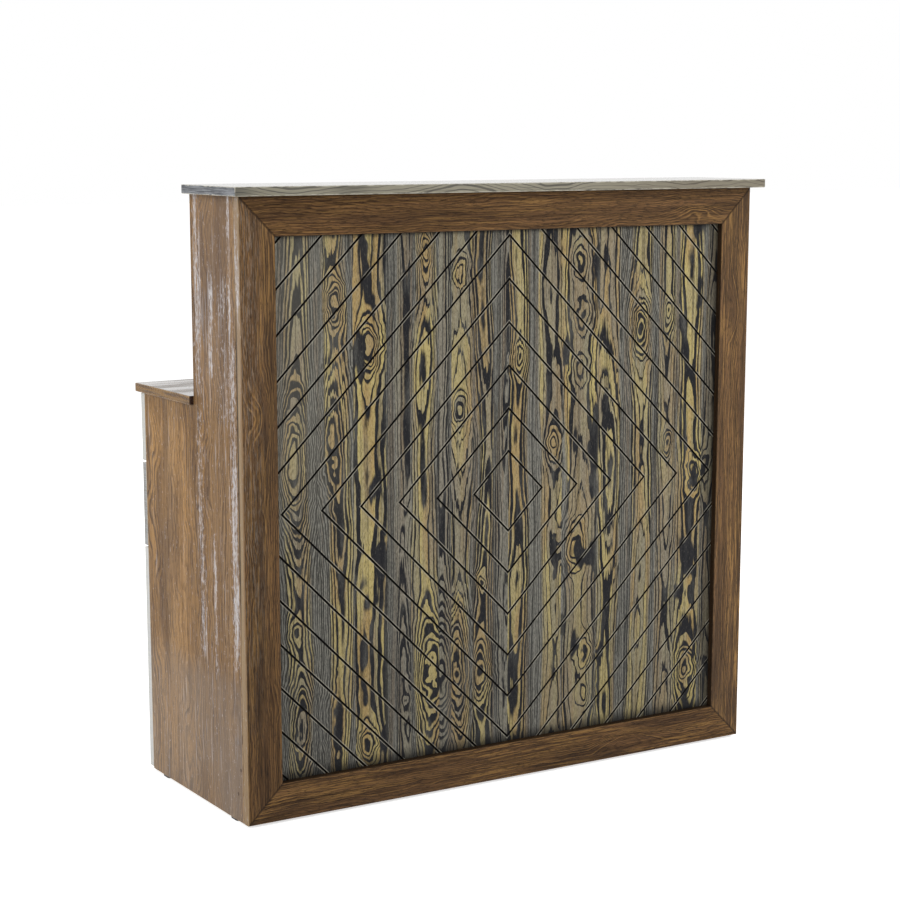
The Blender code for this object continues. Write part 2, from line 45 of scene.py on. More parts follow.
def colour(red, green, blue):
    """A colour as it is read off a screen, from 0 to 255, turned into the light that a shader works in."""
    light = []
    for level in (red, green, blue):
        share = level / 255
        light.append(share / 12.92 if share <= 0.04045 else ((share + 0.055) / 1.055) ** 2.4)
    return (*light, 1.0)


def fill(node, inputs):
    """Joins a node's inputs to wires, or sets them to plain values, by name or number."""
    for name, value in inputs.items():
        socket = node.inputs[name]
        if isinstance(value, Wire):
            socket.id_data.links.new(value.socket, socket)
        else:
            socket.default_value = value


def place(tree, kind, inputs, **settings):
    """Sets one shader node in a tree, with its own settings and inputs."""
    node = tree.nodes.new("ShaderNode" + kind)
    for name, value in settings.items():
        setattr(node, name, value)
    fill(node, inputs)
    return node


class Wire:
    """A shader value that adds and multiplies like a number, each step being a Math node."""

    def __init__(self, socket):
        self.socket = socket
        self.tree = socket.id_data

    def step(self, operation, *others):
        values = dict(enumerate((self, *others)))
        return Wire(place(self.tree, "Math", values, operation=operation).outputs[0])

    def __add__(self, other):
        return self.step("ADD", other)

    def __sub__(self, other):
        return self.step("SUBTRACT", other)

    def __mul__(self, other):
        return self.step("MULTIPLY", other)

    def __truediv__(self, other):
        return self.step("DIVIDE", other)

    def larger(self, other):
        return self.step("MAXIMUM", other)

    def smaller(self, other):
        return self.step("MINIMUM", other)

    def size(self):
        return self.step("ABSOLUTE")

    def fade(self, start, end, low=0.0, high=1.0):
        """Goes from low to high, easing in and out, as the value goes from start to end."""
        limits = {"Value": self, "From Min": start, "From Max": end, "To Min": low, "To Max": high}
        return Wire(place(self.tree, "MapRange", limits, interpolation_type="SMOOTHSTEP").outputs["Result"])

    def parts(self):
        """The three numbers of a place or a colour."""
        return [Wire(socket) for socket in place(self.tree, "SeparateXYZ", {0: self}).outputs]


def joined(across, through, along):
    """Three wires, or wires and numbers, as one place."""
    tree = next(value.tree for value in (across, through, along) if isinstance(value, Wire))
    return Wire(place(tree, "CombineXYZ", {0: across, 1: through, 2: along}).outputs[0])


def shifted(spot, by):
    return Wire(place(spot.tree, "VectorMath", {0: spot, 1: by}, operation="ADD").outputs[0])


def stretched(spot, by):
    return Wire(place(spot.tree, "VectorMath", {0: spot, 1: by}, operation="MULTIPLY").outputs[0])


def ripple(spot, per_metre, detail=2.0, roughness=0.5):
    """Soft noise from 0 to 1, with so many ripples in a metre across, through and along a board."""
    inputs = {"Vector": stretched(spot, per_metre), "Scale": 1.0, "Detail": detail, "Roughness": roughness}
    return Wire(place(spot.tree, "TexNoise", inputs).outputs[0])


def wave(spot, per_metre, reach, detail=1.0):
    """Soft noise either side of 0, by half the reach each way."""
    return (ripple(spot, per_metre, detail=detail) - 0.5) * reach


# The sockets of a Mix node that take and give colours.
MIX_UNDER = 6
MIX_OVER = 7
MIX_RESULT = 2


def stain(amount, under, over):
    """Lays one colour over another, as thick as the amount says."""
    inputs = {0: amount, MIX_UNDER: under, MIX_OVER: over}
    return Wire(place(amount.tree, "Mix", inputs, data_type="RGBA").outputs[MIX_RESULT])


def tones(value, *stops):
    """Picks a colour from a run of (place from 0 to 1, colour) stops."""
    node = place(value.tree, "ValToRGB", {0: value})
    elements = node.color_ramp.elements
    while len(elements) < len(stops):
        elements.new(1.0)
    for element, (position, shade) in zip(elements, stops):
        element.position = position
        element.color = shade
    return Wire(node.outputs[0])


def new_finish(name):
    """A new material with its Principled shader, and the place on the piece in metres."""
    material = bpy.data.materials.new(name)
    material.use_nodes = True
    tree = material.node_tree
    spot = Wire(place(tree, "TexCoord", {}).outputs["Object"])
    return material, tree.nodes["Principled BSDF"], spot


def relief(height, depth, strength):
    """The surface normal over a height from 0 to 1 that stands so many metres tall."""
    inputs = {"Height": height, "Distance": depth, "Strength": strength}
    return Wire(place(height.tree, "Bump", inputs).outputs["Normal"])


def new_group(name, inputs, outputs):
    """A shader node group with named inputs and outputs, as (tree, wires by input name, output node)."""
    tree = bpy.data.node_groups.new(name, "ShaderNodeTree")
    for label, kind in inputs.items():
        tree.interface.new_socket(label, in_out="INPUT", socket_type="NodeSocket" + kind)
    for label in outputs:
        tree.interface.new_socket(label, in_out="OUTPUT", socket_type="NodeSocketFloat")
    entry = tree.nodes.new("NodeGroupInput")
    wires = {label: Wire(entry.outputs[label]) for label in inputs}
    return tree, wires, tree.nodes.new("NodeGroupOutput")


def use_group(tree, group, inputs):
    """Sets a node group in a material, and gives its outputs by name."""
    node = place(tree, "Group", inputs, node_tree=group)
    return {socket.name: Wire(socket) for socket in node.outputs}


def along_grain(spot, order):
    """A point's place on a board as across, through and along its grain; order names those axes."""
    axes = dict(zip("XYZ", spot.parts()))
    return joined(*(axes[name] for name in order))


def build_oak_grain():
    """Oak: long streaks, short open pores, golden dashes and a slow drift, drawn out along the grain."""
    outputs = ("Streak", "Pores", "Gold", "Drift")
    tree, wires, result = new_group("Oak grain", {"Spot": "Vector", "Seed": "Float"}, outputs)
    spot = shifted(wires["Spot"], joined(wires["Seed"] * 1.7, wires["Seed"] * 2.3, wires["Seed"] * 3.1))
    sway = ripple(spot, (7, 7, 2.5), detail=1.0) * 0.02
    swayed = shifted(spot, joined(sway, 0.0, 0.0))
    patches = ripple(spot, (26, 26, 3.5)).fade(0.40, 0.62)
    fill(result, {
        "Streak": ripple(swayed, (180, 180, 2.4), detail=5.0, roughness=0.66).fade(0.36, 0.64),
        "Pores": ripple(swayed, (700, 700, 75), roughness=0.6).fade(0.52, 0.66),
        "Gold": ripple(swayed, (300, 300, 10)).fade(0.48, 0.62) * patches,
        "Drift": ripple(spot, (16, 16, 1.8), detail=3.0).fade(0.3, 0.7),
    })
    return tree


def chance(number):
    """A number from 0 to 1 drawn by lot for each whole number."""
    return Wire(place(number.tree, "TexWhiteNoise", {"W": number}, noise_dimensions="1D").outputs[0])


def build_flat_sawn():
    """A flat-sawn board: wide bands at its heart, closing to fine lines towards its edges.

    Across is measured from the heart. Ring is the spacing of the lines at the edges, Pith how far the
    board lies from the middle of the tree, Taper the rings that the saw crosses up the board, which close
    in arches, and Swell the rings that a branch adds. Phase runs from 0 to 1 through each ring, Width and
    Tint are drawn by lot for each ring, and Heart is 1 at the heart.
    """
    inputs = dict.fromkeys(("Across", "Along", "Seed", "Ring", "Pith", "Taper", "Swell"), "Float")
    outputs = ("Phase", "Width", "Tint", "Heart", "Fibre")
    tree, wires, result = new_group("Flat-sawn figure", inputs, outputs)
    seed = wires["Seed"]
    pith = wires["Pith"]
    spot = joined(wires["Across"], seed, wires["Along"])
    wander = wave(spot, (12, 1, 2.6), 0.044)
    shiver = wave(spot, (110, 1, 22), 0.0032)
    splinter = wave(spot, (300, 1, 5), 0.06)
    offset = wires["Across"] + wander + shiver
    bow = ((offset * offset + pith * pith).step("SQRT") - pith) / wires["Ring"]
    height = wires["Along"] + splinter
    slow = wave(joined(seed, 0.0, height), (1, 1, 1.7), wires["Taper"])
    quick = wave(joined(seed, 5.0, height), (1, 1, 7), 1.8)
    ragged = wave(spot, (48, 1, 13), 1.1, detail=2.0)
    rings = bow + slow + quick + ragged + wires["Swell"]
    number = rings.step("FLOOR") + seed
    fill(result, {
        "Phase": rings.step("FRACT"),
        "Width": chance(number),
        "Tint": chance(number + 0.5),
        "Heart": bow.fade(3.6, 0.8),
        "Fibre": ripple(spot, (700, 1, 7), detail=3.0, roughness=0.65),
    })
    return tree


def build_worn_edge():
    """How near a point of a board is to one of its long edges, roughened, from 0 to 1 at the edge."""
    inputs = {"Spot": "Vector", "Low": "Vector", "High": "Vector", "Reach": "Float"}
    tree, wires, result = new_group("Worn edge", inputs, ("Wear",))
    spot = wires["Spot"]
    from_low = place(tree, "VectorMath", {0: spot, 1: wires["Low"]}, operation="SUBTRACT").outputs[0]
    to_high = place(tree, "VectorMath", {0: wires["High"], 1: spot}, operation="SUBTRACT").outputs[0]
    gaps = {0: Wire(from_low), 1: Wire(to_high)}
    nearest = place(tree, "VectorMath", gaps, operation="MINIMUM").outputs[0]
    first, second, third = Wire(nearest).parts()
    # Two faces are near at an edge, so it is the middle one of the three gaps that counts.
    edge = first.smaller(second).larger(first.larger(second).smaller(third))
    uneven = ripple(spot, (60, 60, 60), detail=3.0, roughness=0.6).fade(0.3, 0.7, 0.25, 1.35)
    share = edge / (wires["Reach"] * uneven)
    fill(result, {"Wear": share.fade(1.0, 0.35)})
    return tree


OAK_GRAIN = build_oak_grain()
FLAT_SAWN = build_flat_sawn()
WORN_EDGE = build_worn_edge()


def edge_wear(spot, piece, reach):
    """How worn a piece is along its edges, so many metres in from them."""
    low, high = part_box(piece)
    inputs = {"Spot": spot, "Low": low, "High": high, "Reach": reach}
    return use_group(spot.tree, WORN_EDGE, inputs)["Wear"]


def dress(piece, finish):
    """Puts a finish on a CAD piece."""
    pieces[piece].material_slots[0].material = finish


RING_TAPER = 7.0


def sawn_laths(grained, width, seed, ring, pith, swell=0.0):
    """The figure of laths of one width side by side, each with its own heart; swell bulges the rings."""
    across, through, along = grained.parts()
    lath = across / width + seed
    number = lath.step("FLOOR")
    lot = chance(number)
    heart = lot.fade(0.0, 1.0, 0.3, 0.7)
    return use_group(grained.tree, FLAT_SAWN, {
        "Across": (lath - number - heart) * width + through * 0.6, "Along": along,
        "Seed": lot * 47 + seed, "Ring": ring, "Pith": pith, "Taper": RING_TAPER, "Swell": swell,
    })


SIDE_DARK = colour(72, 50, 30)
SIDE_SHADE = colour(112, 84, 55)
SIDE_PALE = colour(160, 128, 90)
SIDE_GOLD = colour(164, 124, 72)
SIDE_PORE = colour(64, 42, 26)
SIDE_GREY = colour(131, 118, 106)
SIDE_RUBBED = colour(186, 158, 124)
SIDE_SHEEN = colour(205, 203, 206)
SIDE_VENEER = 0.124
SIDE_RING = 0.0100
SIDE_PITH = 0.026
SIDE_WEAR = 0.0016
SIDE_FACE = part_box("side_panel_right")[1].x
# A face's own stain fades in between these two depths below it.
SKIN_START = 0.0010
SKIN_FULL = 0.0004
UNDER_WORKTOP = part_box("worktop")[0].z
# The streaks of painted sheen: the place of each from the middle of the desk towards the staff side, half
# its width, the heights between which it runs, and how strong it is.
SHEEN_STREAKS = (
    (-0.047, 0.015, 0.27, 0.74, 0.62), (-0.047, 0.014, 0.74, 1.20, 0.72), (-0.098, 0.008, 0.25, 0.52, 0.85),
    (-0.100, 0.009, 0.78, 0.98, 0.90), (-0.184, 0.018, 0.27, 0.86, 0.95), (-0.175, 0.006, 0.82, 1.20, 0.90),
    (-0.150, 0.030, 0.70, 0.98, 0.40),
)


def side_wood(spot, seed):
    """Stained oak veneer with the grain upright, as its colour and its height."""
    grained = along_grain(spot, "YXZ")
    coarse = stretched(grained, (0.55, 0.55, 1.0))
    grain = use_group(spot.tree, OAK_GRAIN, {"Spot": coarse, "Seed": seed})
    swell = wave(shifted(grained, (seed, 0.0, seed)), (14, 1, 7.5), 7.5)
    figure = sawn_laths(grained, SIDE_VENEER, seed, SIDE_RING, SIDE_PITH, swell)
    phase = figure["Phase"]
    wood = tones(grain["Streak"], (0.0, SIDE_SHADE), (0.8, SIDE_PALE))
    wood = stain(phase.fade(0.3, 0.6) * figure["Tint"].fade(0.3, 0.9) * 0.65, wood, SIDE_GOLD)
    # The open pores of each spring take the most stain, in a line that is sharp on one side.
    spring = phase.fade(0.0, 0.05) * phase.fade(0.60, 0.15)
    dashes = figure["Fibre"].fade(0.34, 0.54, 0.7, 1.0)
    wood = stain(spring * dashes * figure["Width"].fade(0.0, 1.0, 0.50, 0.90), wood, SIDE_DARK)
    wood = stain(grain["Gold"] * 0.5, wood, SIDE_GOLD)
    wood = stain(ripple(grained, (17, 17, 6)).fade(0.50, 0.66) * 0.38, wood, SIDE_GOLD)
    blotched = ripple(shifted(grained, (0.0, 0.0, seed)), (13, 13, 5), detail=3.0)
    wood = stain(blotched.fade(0.50, 0.66) * 0.30, wood, SIDE_DARK)
    wood = stain(grain["Pores"] * 0.5, wood, SIDE_PORE)
    wood = stain(grain["Drift"].fade(0.5, 1.0) * 0.45, wood, SIDE_DARK)
    wood = stain(grained.parts()[0].fade(0.04, -0.06) * 0.36, wood, SIDE_DARK)
    return wood, grain["Streak"] * 0.5 - grain["Pores"] - spring * dashes * 0.6


def outer_face(x):
    """1 on the two faces that close the desk at its sides, 0 further in."""
    return x.size().fade(SIDE_FACE - SKIN_START, SIDE_FACE - SKIN_FULL)


def painted_sheen(spot, streaks):
    """How much painted sheen lies along upright streaks, in flecks and broken lines."""
    x, y, z = spot.parts()
    across = y + wave(spot, (1, 1, 5), 0.020, detail=2.0)
    strength = y.fade(-0.02, -0.09) * 0.05
    for middle, half, low, high, thick in streaks:
        reach = z.fade(low - 0.02, low + 0.03) * z.fade(high + 0.03, high - 0.05)
        column = (across - middle).size().fade(half * 1.6, half * 0.1, 0.0, thick)
        strength = strength.larger(column * reach)
    # Where a streak thins out its painted sheen breaks into fewer flecks, but each is as white as in its
    # middle.
    held = strength * ripple(spot, (26, 26, 9)).fade(0.32, 0.56, 0.55, 1.0) * 0.20
    flecks = (ripple(spot, (200, 200, 95), detail=4.0, roughness=0.7) + held).fade(0.60, 0.72)
    lines = (ripple(spot, (190, 190, 8), detail=4.0, roughness=0.62) + held).fade(0.60, 0.72)
    # Above the worktop a thin painted sheen lies between the streaks too.
    thin_sheen = y.fade(-0.02, -0.06) * z.fade(0.68, 0.80) * 0.04
    return (thin_sheen + flecks * 0.38 + lines * 0.32) * outer_face(x)


def joint_stain(height):
    """How much stain has gathered in the joint between side and frame: most from knee to elbow height."""
    return height.fade(0.30, 0.45) * height.fade(0.96, 0.84) * 0.85


def side_finish(piece, seed):
    """Lacquered stain, greyed low by a painted floor reflection, with painted sheen streaks near the front.
    """
    finish, shader, spot = new_finish(piece + "_oak")
    x, y, z = spot.parts()
    wood, height = side_wood(spot, seed)
    cloud = ripple(spot, (14, 14, 5), detail=3.0)
    # Painted reflection of the floor greys the outer faces towards the bottom.
    wear_and_floor_reflection = z.fade(0.29, 0.22) * 0.40 + z.fade(0.30, 0.0) * 0.15
    wood = stain(wear_and_floor_reflection * outer_face(x) * cloud.fade(0.3, 0.6, 0.6, 1.0), wood, SIDE_GREY)
    # Painted shadow darkens the outer faces just under the worktop's overhang.
    under = z.fade(UNDER_WORKTOP - 0.065, UNDER_WORKTOP - 0.015)
    under = under * z.fade(UNDER_WORKTOP + 0.004, UNDER_WORKTOP)
    wood = stain(under * y.fade(-0.03, 0.0) * outer_face(x) * 0.28, wood, SIDE_DARK)
    sheen = painted_sheen(spot, SHEEN_STREAKS)
    wood = stain(sheen, wood, SIDE_SHEEN)
    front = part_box(piece)[0].y
    wood = stain(y.fade(front + 0.0035, front + 0.0010) * joint_stain(z) * outer_face(x), wood, SIDE_DARK)
    wood = stain(edge_wear(spot, piece, SIDE_WEAR) * 0.7, wood, SIDE_RUBBED)
    fill(shader, {
        "Base Color": wood,
        "Roughness": sheen.fade(0.0, 0.6, 0.50, 0.36),
        "Specular IOR Level": 0.12,
        "Normal": relief(height, 0.0005, 0.6),
    })
    return finish


dress("side_panel_left", side_finish("side_panel_left", 1.0))
dress("side_panel_right", side_finish("side_panel_right", 4.0))
dress("partition", side_finish("partition", 6.0))


# Carrier, cabinet floor, divider, shelf and cleats
# Brown melamine-faced chipboard cut square, with the printed grain running the long way of each board.
# They are dowelled and screwed between the side panels.

CARCASS_DARK = colour(82, 60, 43)
CARCASS_BROWN = colour(104, 79, 58)
CARCASS_PALE = colour(122, 95, 70)
CARCASS_EDGE = colour(136, 110, 84)
CARCASS_LATH = 0.12
CARCASS_RING = 0.0045
CARCASS_PITH = 0.02
CARCASS_WEAR = 0.0012
CARCASS_SEED = 7.0


def melamine(piece, order, seed):
    """Printed grain under a thin hard skin, rubbed pale along the edges."""
    finish, shader, spot = new_finish(piece + "_melamine")
    grained = along_grain(spot, order)
    grain = use_group(spot.tree, OAK_GRAIN, {"Spot": grained, "Seed": seed})
    figure = sawn_laths(grained, CARCASS_LATH, seed, CARCASS_RING, CARCASS_PITH)
    face = tones(grain["Streak"], (0.0, CARCASS_BROWN), (1.0, CARCASS_PALE))
    phase = figure["Phase"]
    face = stain(phase.fade(0.0, 0.06) * phase.fade(0.6, 0.1) * 0.5, face, CARCASS_DARK)
    face = stain(grain["Pores"] * 0.35, face, CARCASS_DARK)
    face = stain(edge_wear(spot, piece, CARCASS_WEAR) * 0.6, face, CARCASS_EDGE)
    fill(shader, {
        "Base Color": face,
        "Roughness": grain["Drift"].fade(0.0, 1.0, 0.42, 0.54),
        "Specular IOR Level": 0.3,
        "Normal": relief(grain["Streak"] - grain["Pores"], 0.0002, 0.4),
    })
    return finish


CARCASS_BOARDS = {
    "carrier_board": "ZYX",
    "cabinet_floor": "YZX",
    "drawer_divider": "YZX",
    "shelf": "YZX",
    "worktop_cleat_cabinet": "ZYX",
    "worktop_cleat_knee": "ZYX",
}
for number, (board, order) in enumerate(CARCASS_BOARDS.items()):
    dress(board, melamine(board, order, CARCASS_SEED + number))


# Grooved panel
# Pine laths of uneven width glued edge to edge, brushed until the soft wood lies lower, stained black and
# rubbed back so that the hard rings show yellow. Nested diamonds of V grooves are cut through the face.

PINE_YELLOW = colour(180, 163, 106)
PINE_TAN = colour(164, 138, 90)
PINE_GREY = colour(121, 119, 111)
PINE_BROWN = colour(116, 100, 80)
PINE_SHADE = colour(63, 62, 57)
PINE_BLACK = colour(28, 28, 31)
PINE_WASHED = colour(93, 92, 88)
GROOVE_BLACK = colour(14, 13, 12)
PINE_RUBBED_AND_HIGHLIGHT = colour(172, 167, 152)

# The laths from left to right: width, the heart's place across it and the ring spacing in millimetres,
# then how yellow it was left.
LATHS = (
    (82, 40, 3.8, 0.75), (70, 40, 2.8, 0.85), (66, 30, 8.0, 1.00), (50, 40, 2.4, 0.15), (62, 34, 3.6, 0.90),
    (26, 2, 2.6, 0.15), (42, 20, 4.2, 0.75), (48, 30, 2.8, 0.80), (34, 30, 2.4, 0.10), (62, 22, 3.4, 0.90),
    (58, 40, 4.6, 0.80), (82, 42, 6.4, 0.95), (52, 22, 3.6, 0.85), (86, 48, 3.8, 0.80), (50, 26, 2.8, 0.65),
    (60, 32, 7.0, 1.00), (31, 24, 2.6, 0.30),
)

# Eyes in the figure, where a branch ran: place on the panel from its left and top edges, and radius, in
# millimetres, then how many rings it has.
EYES = (
    (122, 118, 40, 4.6), (187, 195, 46, 4.8), (303, 35, 34, 3.0), (375, 72, 30, 2.8), (375, 320, 34, 3.0),
    (503, 235, 34, 2.8), (580, 400, 30, 3.0), (640, 60, 40, 2.6), (650, 160, 36, 2.8), (640, 262, 36, 2.6),
    (783, 190, 52, 5.0), (848, 165, 26, 3.0), (850, 420, 24, 3.0), (920, 482, 40, 3.6), (900, 872, 46, 4.6),
    (34, 395, 110, 8.0), (340, 800, 110, 8.0), (660, 812, 36, 3.0), (420, 640, 20, 2.4), (48, 860, 90, 6.0),
    (30, 695, 30, 2.6), (180, 918, 34, 3.4), (425, 815, 40, 3.2), (622, 600, 50, 4.2), (658, 892, 30, 2.6),
)
LATHS_WIDTH = sum(lath[0] for lath in LATHS) / 1000
FIRST_DIAMOND = 0.0747
GROOVE_STEP = 0.079
GROOVE_LIP = 0.00003
GROOVE_STAINED = 0.0002
PINE_PITH = 0.026
MILLIMETRE = 0.001


def lath_ramp(share):
    """Looks up a lath by its place across the panel: its heart's place, its ring spacing and its yellow."""
    node = place(share.tree, "ValToRGB", {0: share})
    ramp = node.color_ramp
    ramp.interpolation = "CONSTANT"
    while len(ramp.elements) < len(LATHS):
        ramp.elements.new(1.0)
    left = 0.0
    for element, (width, heart, ring, yellow) in zip(ramp.elements, LATHS):
        element.position = left
        element.color = (left + heart * MILLIMETRE / LATHS_WIDTH, ring * MILLIMETRE, yellow, 1.0)
        left += width * MILLIMETRE / LATHS_WIDTH
    return Wire(node.outputs[0]).parts()


def eye_rings(spot, corner):
    """The rings that the eyes add to the figure round them; corner is the panel's top left corner."""
    noise = {"Vector": spot, "Scale": 34.0, "Detail": 1.0}
    bent = Wire(place(spot.tree, "TexNoise", noise).outputs["Color"])
    bent = shifted(spot, stretched(shifted(bent, (-0.5, -0.5, -0.5)), (0.030, 0.0, 0.036)))
    total = None
    for right, down, radius, rings in EYES:
        centre = corner + Vector((right, 0.0, -down)) * MILLIMETRE
        reach = radius * MILLIMETRE
        away = stretched(shifted(bent, -centre), (1.7 / reach, 0.0, 1 / reach))
        both = {0: away, 1: away}
        squared = Wire(place(spot.tree, "VectorMath", both, operation="DOT_PRODUCT").outputs["Value"])
        eye = (squared * -1.0).step("EXPONENT") * -rings
        total = eye if total is None else total + eye
    return total


def grooved_pine():
    """The laths with their rings and eyes, stained, rubbed back and grooved."""
    finish, shader, spot = new_finish("brushed_pine")
    low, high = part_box("grooved_panel")
    x, y, z = spot.parts()
    heart, ring, yellow = lath_ramp((x - low.x) / (high.x - low.x))
    eyes = eye_rings(spot, Vector((low.x, 0.0, high.z)))
    figure = use_group(spot.tree, FLAT_SAWN, {
        "Across": x - (heart * (high.x - low.x) + low.x), "Along": z, "Seed": heart * 61,
        "Ring": ring, "Pith": PINE_PITH, "Taper": ring.fade(0.003, 0.008, 13.0, 6.0), "Swell": eyes,
    })
    phase = figure["Phase"]
    core = figure["Heart"]
    share = figure["Width"].fade(0.0, 1.0, 0.18, 0.70)
    share = share.larger(eyes.fade(-0.4, -1.4, 0.0, 0.42))
    # Each ring takes the stain from a sharp line at its start, and gives it up slowly or all at once.
    soft = figure["Tint"].fade(0.1, 0.9, 0.03, 0.20)
    band = ((share - phase) / soft).fade(-0.6, 0.6) * phase.fade(0.0, 0.03)
    warmth = yellow * core.fade(0.0, 0.6) * figure["Tint"].fade(0.0, 0.6, 0.35, 1.0)
    streaky = ripple(spot, (75, 1, 1.8))
    grey = stain(streaky.fade(0.50, 0.64) * 0.6, PINE_GREY, PINE_BROWN)
    pale = stain(ripple(spot, (24, 1, 4)).fade(0.44, 0.58) * 0.9, PINE_YELLOW, PINE_TAN)
    pale = stain(ripple(spot, (70, 1, 6), detail=3.0).fade(0.46, 0.70) * 0.35, pale, PINE_GREY)
    pale = stain(warmth, grey, pale)
    dark = stain(core.fade(0.0, 0.5), PINE_SHADE, PINE_BLACK)
    dark = stain(ripple(spot, (42, 1, 10), detail=3.0).fade(0.48, 0.70) * 0.6, dark, PINE_WASHED)
    # The widest rings take the stain in blots.
    blot = ripple(spot, (28, 1, 9), roughness=0.4).fade(0.59, 0.63) * ring.fade(0.0050, 0.0062)
    taken = band.larger(blot)
    wood = stain(taken, pale, dark)
    lines = ripple(spot, (270, 1, 2.4), roughness=0.6)
    wood = stain(lines.fade(0.54, 0.64) * core.fade(0.0, 1.0, 0.65, 0.5), wood, PINE_BLACK)
    speckle = ripple(spot, (620, 1, 130), detail=3.0, roughness=0.7)
    wood = stain(speckle.fade(0.52, 0.34) * 0.55, wood, PINE_BLACK)
    wood = stain(speckle.fade(0.54, 0.72) * taken.fade(0.0, 1.0, 0.40, 0.12), wood, PINE_RUBBED_AND_HIGHLIGHT)
    # Painted shade from the frame lies over stain left dark where the cloth does not reach, most at the
    # right and bottom.
    left = (x - low.x).fade(0.006, 0.0) * 0.35
    right = (x * -1.0 + high.x).fade(0.045, 0.0) * 0.6
    bottom = (z - low.z).fade(0.028, 0.0) * 0.8
    top = (z * -1.0 + high.z).fade(0.006, 0.0) * 0.4
    wood = stain(left.larger(right).larger(bottom).larger(top), wood, GROOVE_BLACK)
    # Painted shade: the panel darkens towards its bottom.
    wood = stain((z - low.z).fade(0.50, 0.05) * 0.16, wood, PINE_BLACK)
    # Painted light: the panel is lighter near its left edge, above its lower part.
    wood = stain((x - low.x).fade(0.20, 0.02) * (z - low.z).fade(0.35, 0.60) * 0.12, wood, PINE_RUBBED_AND_HIGHLIGHT)
    # Both arrises of each groove carry a painted highlight, in patches.
    rise = z - (low.z + high.z) / 2
    diamond = (x.size() + rise.size() - FIRST_DIAMOND) / GROOVE_STEP
    past = (diamond - (diamond + 0.5).step("FLOOR")).size()
    arris = past.fade(0.070, 0.052) * past.fade(0.034, 0.040)
    arris_patches = ripple(spot, (45, 45, 45), detail=3.0).fade(0.42, 0.60)
    wood = stain(arris * arris_patches * 0.55, wood, PINE_RUBBED_AND_HIGHLIGHT)
    wood = stain(y.fade(low.y + GROOVE_LIP, low.y + GROOVE_STAINED), wood, GROOVE_BLACK)
    fill(shader, {
        "Base Color": wood,
        "Roughness": band.fade(0.0, 1.0, 0.5, 0.7),
        "Specular IOR Level": 0.15,
        "Normal": relief(band * -0.7 + speckle * 0.6, 0.0006, 0.7),
    })
    return finish


dress("grooved_panel", grooved_pine())


# Front frame
# Four oak boards mitred at the corners, with eased edges, glued and screwed from behind to the carrier.
# The stain is darker than on the sides, and gold shows in the grain where it was rubbed thin.

FRAME_DARK = colour(30, 19, 10)
FRAME_SHADE = colour(54, 37, 22)
FRAME_PALE = colour(118, 86, 55)
FRAME_GOLD = colour(168, 128, 74)
FRAME_PORE = colour(26, 17, 10)
FRAME_RUBBED = colour(144, 113, 80)
FRAME_EDGE = colour(150, 129, 100)
FRAME_REBATE_SHADE = colour(30, 20, 11)
FRAME_FLECK = colour(184, 172, 158)
FRAME_PAINTED_LIGHT = colour(158, 136, 112)
FRAME_PAINTED_SHADE = colour(26, 22, 18)
FRAME_RING = 0.0046
FRAME_PITH = 0.016
FRAME_WEAR = 0.0022
FRAME_SEED = 17.0
FRAME_CENTRE = {"X": 0.0, "Z": 0.55}
FRAME_SHEEN_STREAKS = ((-0.204, 0.010, 0.88, 1.20, 0.7),)
SWIRL_HALF_WIDTH = 0.020
SWIRL_HALF_LENGTH = 0.055
SWIRL_RINGS = 5.0
# Stain on an eased edge fades in between these two depths below the face beside it.
EASED_START = 0.0016
EASED_FULL = 0.0006
PAST_THE_DESK = 2.0
# Each board's axes across, through and along the grain, then what its finish is told about it.
FRAME_BOARDS = {
    "frame_top_rail": ("ZYX", -0.014, 0.42, 0.45, (0.0, 0.04), (0.0, 0.0), 0.0),
    "frame_bottom_rail": ("ZYX", 0.010, 0.28, 0.75, (0.0, 0.0), (0.16, 0.12), 0.0),
    "frame_left_stile": ("XYZ", -0.018, 0.72, 0.65, (0.0, 0.06), (0.24, 0.0), 0.22),
    "frame_right_stile": ("XYZ", 0.006, 0.86, 0.95, (0.06, 0.08), (0.0, 0.0), 0.0),
}


